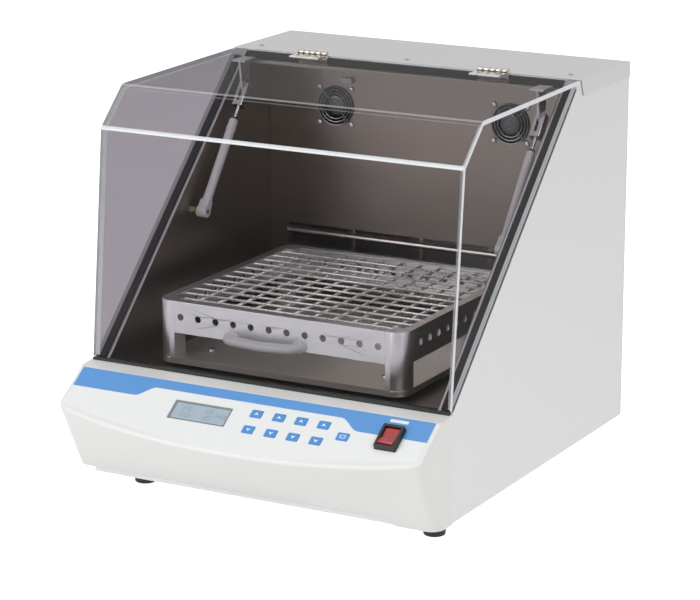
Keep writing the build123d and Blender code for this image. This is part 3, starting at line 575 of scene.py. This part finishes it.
class SHAKER_OT_cabinet(bpy.types.Operator):
    """Stainless cabinet: side panels, top cover, back panel, and the screws that hold them"""

    bl_idname = "shaker.cabinet"
    bl_label = "Cabinet"

    def execute(self, context):
        sizes = context.scene.shaker_sizes
        colours = context.scene.shaker_colours
        sheet = satin_stainless_sheet(colours.cabinet)
        dress(["side_panel_left", "side_panel_right", "back_panel", "base_pan"], sheet)
        # painted shade: the top cover is a darker copy of the cabinet sheet, for the dimmer light
        # on the top
        dress(["top_cover"], satin_stainless_sheet(shade(colours.cabinet, 0.92)))
        ease(["side_panel_left", "side_panel_right", "top_cover"], sizes.edge_round)
        # return flange that closes the pan's front corner under the fascia's raised edge
        bm = bmesh.new()
        flange = [(-241.5, 0.2), (-241.5, 9.2), (-200.2, 9.2), (-200.2, 0.2)]
        plate(bm, flange, along(at(0, FRONT - 34, 15), (0, -1, 0)), 1.2)
        piece("pan_flange", bm, sheet, "cabinet", smooth=False)
        screw = plated("zinc-plated screw steel", "#9a9a9a", 0.3)
        # three screws along the top cover and ten round the back panel
        tops = [(-236, 395), (-6, 391), (236, 395)]
        tops = [along(at(x, FRONT + y, TOP), (0, 0, 1)) for x, y in tops]
        backs = [(x, z) for x in (-250, 250) for z in (35, 185, 335, 480)] + [(0, 35), (0, 480)]
        backs = [along(at(x, BACK, z), (0, 1, 0)) for x, z in backs]
        screws("cabinet_screws", tops + backs, 3.4, 1.3, screw, "cabinet")
        return {"FINISHED"}


class SHAKER_OT_inlet(bpy.types.Operator):
    """Mains inlet on the back, with its two flange screws"""

    bl_idname = "shaker.inlet"
    bl_label = "Mains inlet"

    def execute(self, context):
        dress(["power_inlet"], moulded("moulded black polyamide", "#121213", 0.4))
        ease(["power_inlet"], 0.3 * MM)
        screw = plated("black oxide screw steel", "#2c2c2e", 0.35)
        places = [along(at(180 + side, BACK + 2.5, 75), (0, 1, 0)) for side in (-20, 20)]
        screws("inlet_screws", places, 2.6, -0.6, screw, "cabinet")
        return {"FINISHED"}


class SHAKER_OT_base(bpy.types.Operator):
    """Four rubber feet"""

    bl_idname = "shaker.base"
    bl_label = "Feet"

    def execute(self, context):
        bm = bmesh.new()
        # a foot from its hollow middle, over the tread and up its side to the base pan
        hollow = [(0, 1.4), (6, 1.4), (6.6, 0)]
        side = [(12.6, 0), (13.9, 1.0), (14.2, 5), (14.8, 11.6), (15, 12.4), (15, 15), (0, 15)]
        for x, y in ((-186, FRONT - 1), (242, FRONT - 4), (-215, FRONT + 478), (215, FRONT + 478)):
            turned(bm, hollow + side, Matrix.Translation(at(x, y, 0)), 28)
        feet = piece("rubber_feet", bm, moulded_rubber(), "cabinet")
        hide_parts("feet")
        return {"FINISHED"}


class SHAKER_OT_fascia(bpy.types.Operator):
    """Moulded front fascia and the printed film on its control face"""

    bl_idname = "shaker.fascia"
    bl_label = "Front fascia"

    def execute(self, context):
        colours = context.scene.shaker_colours
        dress(["front_fascia"], moulded_abs(colours.fascia))
        ease(["front_fascia"], 0.35 * MM)
        dress(["control_overlay"], printed_film("screen-printed polyester film", colours.film))
        band = printed_film("screen-printed blue film", colours.band)
        # the band is deep at both ends and narrows in the middle, by a soft S at each side
        deep, thin = 32.0, 15.0
        left_s, left_run = -164, 26.5
        right_s, right_run = 132, 30.5
        stations = [-258, -230, -200, -170]
        stations += [left_s + left_run * i / 16 for i in range(17)]
        stations += [-120 + 24 * i for i in range(11)]
        stations += [right_s + right_run * i / 16 for i in range(17)] + [180, 210, 235, 258]

        def lower_edge(x):
            """Depth of the band at x, both in mm down the slope."""
            if left_s < x < left_s + left_run:
                t = (x - left_s) / left_run
            elif right_s < x < right_s + right_run:
                t = (right_s + right_run - x) / right_run
            else:
                t = 1.0 if left_s + left_run <= x <= right_s else 0.0
            t = t * t * (3 - 2 * t)
            return deep + (thin - deep) * t

        bm = bmesh.new()
        # each row holds the upper edge's back and front point, then the lower edge's
        upper, heights = 0.7, (0.62, 0.72)
        rows = []
        for x in stations:
            row = []
            for v in (upper, lower_edge(x)):
                for height in heights:
                    row.append(bm.verts.new(control_face(x, v, height).translation))
            rows.append(row)
        for a, b in zip(rows, rows[1:]):
            bm.faces.new((a[1], b[1], b[3], a[3]))
            bm.faces.new((a[0], a[2], b[2], b[0]))
            bm.faces.new((a[0], b[0], b[1], a[1]))
            bm.faces.new((a[2], a[3], b[3], b[2]))
        for end in (rows[0], rows[-1]):
            bm.faces.new((end[0], end[1], end[3], end[2]))
        piece("overlay_band", bm, band, "cabinet", smooth=False)
        label = printed_film("screen-printed white patch", srgb("#f1f3f3"))
        bm = bmesh.new()
        plate(bm, rounded(25.5, 4.6, 1), control_face(210, 7.2, 0.73), 0.08)
        piece("overlay_patch", bm, label, "cabinet", smooth=False)
        return {"FINISHED"}


SEGMENTS = {
    "0": "abcdef", "1": "bc", "2": "abged", "3": "abgcd", "4": "fgbc", "5": "afgcd", "6": "afgedc",
    "7": "abc", "8": "abcdefg", "9": "abcdfg",
}


class SHAKER_OT_display(bpy.types.Operator):
    """Liquid-crystal display: panel, dark surround and a plain number readout"""

    bl_idname = "shaker.display"
    bl_label = "Display"

    def execute(self, context):
        colours = context.scene.shaker_colours
        base = colours.display
        glass, tree, shader = surface(
            "liquid-crystal glass", base, 0.0, 0.12, IOR=1.52, Coat_Weight=0.6, Coat_Roughness=0.06
        )
        # cells of 0.6 mm, faint behind the glass
        tint = (shade(base, 0.94), shade(base, 1.03))
        grain(tree, shader, (0.6, 0.6, 0.6), None, 0, tint)
        dress(["display_module"], glass)
        surround = moulded("moulded grey surround", "#7d858b", 0.4)
        # the display's glass lies this far under the control face
        sunk = -0.98
        bm = bmesh.new()
        outer = rounded(84.2, 29.9, 0.8, 3)
        inner = rounded(78.6, 25.2, 0.8, 3)
        rings = ((outer, 0), (outer, 1.2), (inner, 0.5), (inner, 0))
        framed(bm, rings, control_face(-59.5, 43.4, sunk))
        piece("display_surround", bm, surround, "cabinet", smooth=False)
        ink, tree, shader = surface("liquid-crystal segment ink", srgb("#7f909f"), 0.0, 0.3)
        # the same cells of 0.6 mm in the figures
        grain(tree, shader, (0.6, 0.6, 0.6), (0.25, 0.4), 0)
        bm = bmesh.new()
        # height, width, bar and thickness of a figure
        tall, thick = 6.0, 0.06
        wide, bar, half = 0.52 * tall, 0.12 * tall, tall / 2

        def digits(text, x, v):
            """Seven-segment figures, left edge and middle given on the control face, in mm."""
            runs = {
                "a": (0, half, wide, bar), "g": (0, 0, wide, bar), "d": (0, -half, wide, bar),
                "f": (-wide / 2, half / 2, bar, half), "b": (wide / 2, half / 2, bar, half),
                "e": (-wide / 2, -half / 2, bar, half), "c": (wide / 2, -half / 2, bar, half),
            }
            for letter in text:
                if letter == ".":
                    spot = control_face(x - 0.06 * tall, v + half, sunk)
                    plate(bm, rounded(bar, bar, bar / 3, 2), spot, thick)
                    x += 0.2 * tall
                    continue
                for run in SEGMENTS[letter]:
                    cx, cy, w, h = runs[run]
                    w, h = max(w - bar * 0.5, bar), max(h - bar * 0.5, bar)
                    spot = control_face(x + wide / 2 + cx, v - cy, sunk)
                    plate(bm, rounded(w, h, bar / 3, 2), spot, thick)
                x += 0.8 * tall

        for text, x in (("37.0", -88), ("120", -56)):
            for v in (38.5, 48.5):
                digits(text, x, v)
        digits("24.00", -38.5, 43.5)
        piece("display_figures", bm, ink, "cabinet", smooth=False)
        return {"FINISHED"}


KEYS_UP = [("key_up_%d" % (i + 1), x, KEY_ROW_UP) for i, x in enumerate(KEY_COLUMNS)]
KEYS_DOWN = [("key_down_%d" % (i + 1), x, KEY_ROW_DOWN) for i, x in enumerate(KEY_COLUMNS)]


class SHAKER_OT_keys(bpy.types.Operator):
    """Nine blue keys with printed arrow marks"""

    bl_idname = "shaker.keys"
    bl_label = "Keys"

    def execute(self, context):
        colours = context.scene.shaker_colours
        rubber, tree, shader = surface("moulded blue silicone", colours.band, 0.0, 0.36, IOR=1.43)
        # moulded grain of 0.6 mm
        grain(tree, shader, (0.6, 0.6, 0.6), (0.3, 0.44), 0.006)
        white = printed_film("pad-printed white ink", srgb("#eaf2f8"))
        dress([name for name, x, v in KEYS_UP + KEYS_DOWN] + ["key_set"], rubber)
        # the marks are 0.06 mm of ink on the key caps, 1.2 mm over the control face
        cap, ink = 1.2, 0.06
        for group, tip in ((KEYS_UP, 1), (KEYS_DOWN, -1)):
            for name, x, v in group:
                bm = bmesh.new()
                arrow = [(0, 2.6 * tip), (-3.4, -2.2 * tip), (0, -1.0 * tip), (3.4, -2.2 * tip)]
                plate(bm, arrow[::tip], control_face(x, v, cap), ink)
                piece(name + "_mark", bm, white, name + "_cap", smooth=False)
        bm = bmesh.new()
        ring, hole = rounded(8.4, 5.2, 1.4, 3), rounded(6.4, 3.2, 0.8, 3)
        rings = ((ring, 0), (ring, ink), (hole, ink), (hole, 0))
        framed(bm, rings, control_face(146.8, 43.6, cap))
        piece("key_set_mark", bm, white, "key_set_cap", smooth=False)
        return {"FINISHED"}


class SHAKER_OT_switch(bpy.types.Operator):
    """Mains rocker switch in its black bezel"""

    bl_idname = "shaker.switch"
    bl_label = "Rocker switch"

    def execute(self, context):
        colours = context.scene.shaker_colours
        dress(["rocker_frame"], moulded("moulded black nylon", "#161616", 0.34))
        ease(["rocker_frame"], 0.4 * MM)
        red, tree, shader = surface(
            "moulded red polycarbonate",
            colours.rocker,
            0.0,
            0.16,
            IOR=1.58,
            Coat_Weight=0.5,
            Coat_Roughness=0.05,
        )
        # flow marks 4 mm long in the gloss
        grain(tree, shader, (4, 4, 4), (0.12, 0.22), 0.004)
        dress(["rocker"], red)
        ease(["rocker"], 0.6 * MM)
        return {"FINISHED"}


class SHAKER_OT_chamber(bpy.types.Operator):
    """Bright stainless chamber liner, the sensor clip and the gasket round the mouth"""

    bl_idname = "shaker.chamber"
    bl_label = "Chamber"

    def execute(self, context):
        colours = context.scene.shaker_colours
        liner = bright_stainless_liner(colours.liner)
        walls = ["chamber_wall_left", "chamber_wall_right", "chamber_floor"]
        walls += ["chamber_header", "duct_panel"]
        dress(walls, liner)
        ease(walls, 0.3 * MM)
        # the louvre's blade is a real strip of stainless; its colour, brighter than the panel it
        # stands on, is a painted highlight
        bm = bmesh.new()
        blade = [(0, 244.6), (3.55, 246.6), (3.85, 248.6), (3.55, 250.9), (0, 252.9)]
        half_length, gap = 213, 0.1
        ends = []
        for x in (-half_length, half_length):
            ends.append([bm.verts.new(at(x, DUCT - out - gap, z)) for out, z in blade])
        for i in range(len(blade) - 1):
            bm.faces.new((ends[0][i], ends[1][i], ends[1][i + 1], ends[0][i + 1]))
        bm.faces.new((ends[0][0], ends[0][-1], ends[1][-1], ends[1][0]))
        bm.faces.new(ends[0])
        bm.faces.new(ends[1][::-1])
        blade_highlight = plated("stainless blade, painted highlight", "#ece8e2", 0.3)
        piece("louvre_blade", bm, blade_highlight, "cabinet", smooth=False)
        dress(["sensor_clip"], moulded_nylon(colours.handle))
        dress(["mouth_gasket"], moulded_rubber())
        ease(["mouth_gasket"], 0.8 * MM, 3)
        return {"FINISHED"}


class SHAKER_OT_fans(bpy.types.Operator):
    """Two circulation fans with round-wire finger guards and their screws"""

    bl_idname = "shaker.fans"
    bl_label = "Fans"

    def execute(self, context):
        sizes = context.scene.shaker_sizes
        black = moulded("moulded black PBT", "#1c1c1e", 0.38)
        dress(["fan_frames", "fan_rotor_left", "fan_rotor_right"], black)
        wire_finish = plated("zinc-plated guard wire", "#8e8e90", 0.3)
        disc_finish = plated("blued steel disc", "#5d5d60", 0.3)
        screw = plated("zinc-plated guard screw", "#dededf", 0.28)
        radius = sizes.guard_wire / 2
        # a guard's spoke as distances from its middle and from the duct panel, and its disc
        spoke = ((12, 1.6), (20, 1.5), (28, 1.5), (31, 1.3), (33, 1.0))
        disc_profile = [(0, 3.8), (4.4, 3.8), (5, 3.2), (9, 3.1), (9.6, 3.7), (10.6, 3.6)]
        disc_profile += [(11.2, 3), (13.8, 2.9), (14.6, 2.3), (14.6, 1.6), (0, 1.6)]
        # how far the screws are from the fan's middle, to each side and along the diagonal
        screw_out, screw_far = 25, 35.36
        for side, name in ((-FAN_X, "left"), (FAN_X, "right")):
            bm = bmesh.new()
            for ring in (27.2, 22.6, 18):
                wire(bm, hoop(side, DUCT - 2.9, FAN_Z, ring, 48), radius, closed=True)
            for quarter in range(4):
                t = math.radians(45 + 90 * quarter)
                points = [
                    at(side + r * math.cos(t), DUCT - out, FAN_Z + r * math.sin(t))
                    for r, out in spoke
                ]
                wire(bm, points, radius)
                x, z = side + screw_far * math.cos(t), FAN_Z + screw_far * math.sin(t)
                wire(bm, hoop(x, DUCT - 1.0, z, 3.1, 20), radius, closed=True)
            guard = piece("fan_guard_" + name, bm, wire_finish, "cabinet")
            bm = bmesh.new()
            turned(bm, disc_profile, along(at(side, DUCT, FAN_Z), (0, -1, 0)), 36)
            piece("fan_guard_disc_" + name, bm, disc_finish, "cabinet")
            if name == "left":
                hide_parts("fan_guards")
            spots = [
                along(at(side + dx, DUCT, FAN_Z + dz), (0, -1, 0))
                for dx in (-screw_out, screw_out)
                for dz in (-screw_out, screw_out)
            ]
            screws("fan_screws_" + name, spots, 3.3, 2.6, screw, "cabinet")
        return {"FINISHED"}


class SHAKER_OT_lid(bpy.types.Operator):
    """Bent smoke-acrylic canopy and its two glued side sheets"""

    bl_idname = "shaker.lid"
    bl_label = "Lid"

    def execute(self, context):
        colours = context.scene.shaker_colours
        tints = (colours.lid, colours.lid_edge_highlight)
        dress(["lid_canopy"], smoke_acrylic("smoke acrylic, bent", *tints, bent=True))
        sides = ["lid_side_left", "lid_side_right"]
        dress(sides, smoke_acrylic("smoke acrylic, sawn", *tints, bent=False))
        return {"FINISHED"}


class SHAKER_OT_hinges(bpy.types.Operator):
    """Two plated hinges with their screws, and the strut brackets under the lid"""

    bl_idname = "shaker.hinges"
    bl_label = "Hinges"

    def execute(self, context):
        steel = plated("bright nickel-plated steel", "#b5b0aa", 0.2)
        nodes = ["cabinet_hinge_leaves", "lid_hinge_leaves"]
        dress(nodes, steel)
        ease(nodes, 0.25 * MM)
        dress(["strut_brackets"], plated("zinc-plated bracket steel", "#b4b4b5", 0.3))
        ease(["strut_brackets"], 0.3 * MM)
        screw = plated("nickel-plated screw steel", "#8d8984", 0.26)
        # three screws in each leaf, square to the lid's top, which falls a little to the front
        square = (0, -0.01388, 1)
        places = [
            along(at(side + dx, FRONT + 348.5, 515.95), square)
            for side in (-HINGE_X, HINGE_X)
            for dx in (-14, 0, 14)
        ]
        screws("hinge_screws", places, 2.7, 0.9, screw, "lid")
        return {"FINISHED"}


class SHAKER_OT_struts(bpy.types.Operator):
    """Two gas struts: lacquered cylinders, plated rods, crimp rings and wall studs"""

    bl_idname = "shaker.struts"
    bl_label = "Gas struts"

    def execute(self, context):
        base = srgb("#fbfbfc")
        white, tree, shader = surface(
            "white lacquered steel tube", base, 0.0, 0.25, IOR=1.5, Coat_Weight=0.4
        )
        # lacquer ripple of 5 mm
        grain(tree, shader, (5, 5, 5), (0.2, 0.3), 0.006)
        steel = plated("chrome-plated rod steel", "#bdbdbe", 0.18)
        seal = moulded("moulded black seal", "#1d1d1e", 0.45)
        dress(["strut_cylinder_left", "strut_cylinder_right"], white)
        dress(["strut_rod_left", "strut_rod_right"], steel)
        ease(["strut_rod_left", "strut_rod_right"], 0.5 * MM)
        dress(["strut_studs"], plated("nickel-plated turned brass", "#b0a286", 0.26))
        ease(["strut_studs"], 0.3 * MM)
        # the strut's two pins, then its crimp rings and the seal, with their places along the tube
        low, high = Vector((0, FRONT + 215.0, 315.5)), Vector((0, FRONT + 327.0, 466.0))
        up = (high - low).normalized()
        crimp, crimps = [(6.25, 0), (6.9, 0.6), (6.9, 3.0), (6.25, 3.6)], (17, 124)
        cap, cap_at = [(2.56, 0), (5.2, 0), (5.4, 0.6), (4.6, 2.2), (3.2, 3.0), (2.56, 3.0)], 140
        for side, name in ((-STRUT_X, "left"), (STRUT_X, "right")):
            start = Vector((side, low.y, low.z))
            bm = bmesh.new()
            for place in crimps:
                turned(bm, crimp, along((start + up * place) * MM, up))
            piece("strut_rings_" + name, bm, white, "strut_tube_" + name)
            bm = bmesh.new()
            turned(bm, cap, along((start + up * cap_at) * MM, up))
            piece("strut_seal_" + name, bm, seal, "strut_tube_" + name)
        return {"FINISHED"}


class SHAKER_OT_platform(bpy.types.Operator):
    """Orbiting platform with its tray: plate, posts, perforated rails and handle"""

    bl_idname = "shaker.platform"
    bl_label = "Platform and tray"

    def execute(self, context):
        colours = context.scene.shaker_colours
        plate_finish = bright_stainless_liner(srgb("#e0dcd4"))
        plate_finish.name = "bright rolled stainless plate"
        dress(["platform_plate"], plate_finish)
        ease(["platform_plate"], 0.8 * MM, 3)
        rails = ["tray_posts", "tray_rail_front", "tray_rail_back"]
        rails += ["tray_rail_left", "tray_rail_right"]
        dress(rails, anodised_aluminium(colours.tray))
        ease(rails, 0.5 * MM)
        dress(["tray_handle"], moulded_nylon(colours.handle))
        ease(["tray_handle"], 0.6 * MM)
        screw = plated("stainless socket screw", "#c9c9c9", 0.18)
        places = [
            along(at(TRAY_X + dx, TRAY_Y + dy, 160.5), (0, 0, 1))
            for dx in (-130, 130)
            for dy in (-120, 120)
        ]
        screws("plate_screws", places, 5, 3.0, screw, "platform")
        return {"FINISHED"}


class SHAKER_OT_springs(bpy.types.Operator):
    """Grid of tensioned coil springs that holds the flasks"""

    bl_idname = "shaker.springs"
    bl_label = "Spring grid"

    def execute(self, context):
        sizes = context.scene.shaker_sizes
        colours = context.scene.shaker_colours
        pitch = sizes.coil_pitch
        bm = bmesh.new()
        # corners round a spring and rings to a turn, then its mean radius and its thread's height
        sides, samples = 9, 4
        core, thread = 1.62, 0.38

        def coil(start, end):
            """A close-wound spring: its skin rises and falls as a thread of the coil pitch."""
            axis = (end - start).normalized()
            across = axis.orthogonal().normalized()
            other = axis.cross(across)
            length = (end - start).length
            steps = int(length / pitch) * samples
            last = None
            for i in range(steps + 1):
                s = length * i / steps
                ring = []
                for k in range(sides):
                    turn = 2 * math.pi * k / sides
                    wave = math.cos(2 * math.pi * s / pitch - turn)
                    radius = (core + thread * wave) * MM
                    spoke = math.cos(turn) * across + math.sin(turn) * other
                    ring.append(bm.verts.new(start + axis * s + radius * spoke))
                if last:
                    skin(bm, last, ring)
                else:
                    bm.faces.new(ring[::-1])
                last = ring
            bm.faces.new(last)

        # eleven springs from front to back, and twelve from side to side over them
        long, lower, gap_x = 170, 228.8, 28.75
        for i in range(11):
            x = TRAY_X + gap_x * (i - 5)
            coil(at(x, TRAY_Y - long, lower), at(x, TRAY_Y + long, lower))
        wide, upper, gap_y = 181, 233, 25.8
        for i in range(12):
            y = TRAY_Y + gap_y * (i - 5.5)
            coil(at(TRAY_X - wide, y, upper), at(TRAY_X + wide, y, upper))
        grid = piece("spring_grid", bm, coiled_wire(colours.springs), "platform")
        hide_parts("tray_springs")
        return {"FINISHED"}


class SHAKER_OT_drive(bpy.types.Operator):
    """Drive under the chamber floor: chassis, motor, crank and idlers"""

    bl_idname = "shaker.drive"
    bl_label = "Drive"

    def execute(self, context):
        dress(["drive_chassis"], powder_coat("grey powder coat", "#3c3d3f"))
        dress(["drive_motor"], plated("drawn motor steel", "#7f8082", 0.34))
        cranks = ["drive_crank", "idler_crank_1", "idler_crank_2", "idler_crank_3"]
        dress(cranks, plated("turned steel", "#9b9b9c", 0.26))
        return {"FINISHED"}


class SHAKER_OT_stage(bpy.types.Operator):
    """White floor, soft lamps, white surroundings and the camera"""

    bl_idname = "shaker.stage"
    bl_label = "Stage"

    def execute(self, context):
        sizes = context.scene.shaker_sizes
        scene = context.scene
        scene.view_settings.view_transform = "Standard"
        world = bpy.data.worlds.new("studio")
        scene.world = world
        world.use_nodes = True
        tree = world.node_tree
        background = tree.nodes["Background"]
        tree.links.new(seen_strength(tree, 0.38, 1.0), background.inputs["Strength"])
        background.inputs["Color"].default_value = (1, 1, 1, 1)

        paper, tree, shader = surface("white studio paper", srgb("#f0f0f0"), 0.0, 0.9)
        tree.links.new(seen_strength(tree, 0.0, 0.8), shader.inputs["Emission Strength"])
        shader.inputs["Emission Color"].default_value = (1, 1, 1, 1)
        # pulp of 6 mm, coarser than real so that it shows
        grain(tree, shader, (6, 6, 6), (0.85, 0.95), 0.01)
        bm = bmesh.new()
        # a sheet of 16 m, so that its edges stay out of every view
        for x, y in ((-8, -8), (8, -8), (8, 8), (-8, 8)):
            bm.verts.new((x, y, 0))
        bm.faces.new(bm.verts)
        mesh = bpy.data.meshes.new("floor")
        bm.to_mesh(mesh)
        bm.free()
        mesh.materials.append(paper)
        floor = bpy.data.objects.new("floor", mesh)
        scene.collection.objects.link(floor)

        # each lamp's place and width in metres, and its power in watts; all face the shaker
        target = Vector((0, 0, 0.25))
        lamps = (
            ("lamp_right", (2.6, -1.9, 2.2), 2.2, 42),
            ("lamp_left", (-1.6, -3.0, 1.3), 2.0, 44),
            ("lamp_top", (0.0, -0.6, 3.2), 2.4, 12),
            ("lamp_back", (0.6, 2.8, 2.0), 2.2, 8),
        )
        for name, spot, wide, power in lamps:
            data = bpy.data.lights.new(name, "AREA")
            data.shape = "DISK"
            data.size = wide
            data.energy = power
            lamp = bpy.data.objects.new(name, data)
            lamp.location = spot
            lamp.rotation_euler = (target - Vector(spot)).to_track_quat("-Z", "Y").to_euler()
            scene.collection.objects.link(lamp)

        # the photograph's viewing angle, and the camera's way from the shaker's middle, in mm
        azimuth, elevation = math.radians(28.68), math.radians(14.91)
        middle, far, aside, above = Vector((0, 41.8, 230)), 3809.6, -14.8, -18.2
        level = math.cos(elevation)
        back = Vector((math.sin(azimuth) * level, -math.cos(azimuth) * level, math.sin(elevation)))
        right = Vector((math.cos(azimuth), math.sin(azimuth), 0))
        up = back.cross(right)
        lens = bpy.data.cameras.new("camera")
        lens.lens = sizes.lens
        lens.sensor_width = 36
        lens.clip_end = 50
        camera = bpy.data.objects.new("camera", lens)
        camera.matrix_world = Matrix((right, up, back)).transposed().to_4x4()
        camera.location = (back * far + right * aside + up * above + middle) * MM
        scene.collection.objects.link(camera)
        scene.camera = camera
        return {"FINISHED"}


STEPS = (
    SHAKER_OT_stage,
    SHAKER_OT_cabinet,
    SHAKER_OT_inlet,
    SHAKER_OT_base,
    SHAKER_OT_fascia,
    SHAKER_OT_display,
    SHAKER_OT_keys,
    SHAKER_OT_switch,
    SHAKER_OT_chamber,
    SHAKER_OT_fans,
    SHAKER_OT_lid,
    SHAKER_OT_hinges,
    SHAKER_OT_struts,
    SHAKER_OT_platform,
    SHAKER_OT_springs,
    SHAKER_OT_drive,
)


class SHAKER_PT_looks(bpy.types.Panel):
    """Sizes, colours and the steps that build the shaker's looks"""

    bl_idname = "SHAKER_PT_looks"
    bl_label = "Benchtop shaker"
    bl_space_type = "VIEW_3D"
    bl_region_type = "UI"
    bl_category = "Shaker"

    def draw(self, context):
        layout = self.layout
        for group in (context.scene.shaker_sizes, context.scene.shaker_colours):
            box = layout.box()
            for name in group.bl_rna.properties.keys():
                if name not in ("rna_type", "name"):
                    box.prop(group, name)
        for step in STEPS:
            layout.operator(step.bl_idname)


CLASSES = (ShakerColours, ShakerSizes, *STEPS, SHAKER_PT_looks)


def register():
    """Adds the shaker's operators, its panel and its settings."""
    for cls in CLASSES:
        bpy.utils.register_class(cls)
    bpy.types.Scene.shaker_colours = PointerProperty(type=ShakerColours)
    bpy.types.Scene.shaker_sizes = PointerProperty(type=ShakerSizes)


def unregister():
    """Takes them away again."""
    del bpy.types.Scene.shaker_sizes
    del bpy.types.Scene.shaker_colours
    for cls in reversed(CLASSES):
        bpy.utils.unregister_class(cls)


def main():
    register()
    for step in STEPS:
        getattr(bpy.ops.shaker, step.bl_idname.split(".")[1])()


if __name__ == "__main__":
    main()
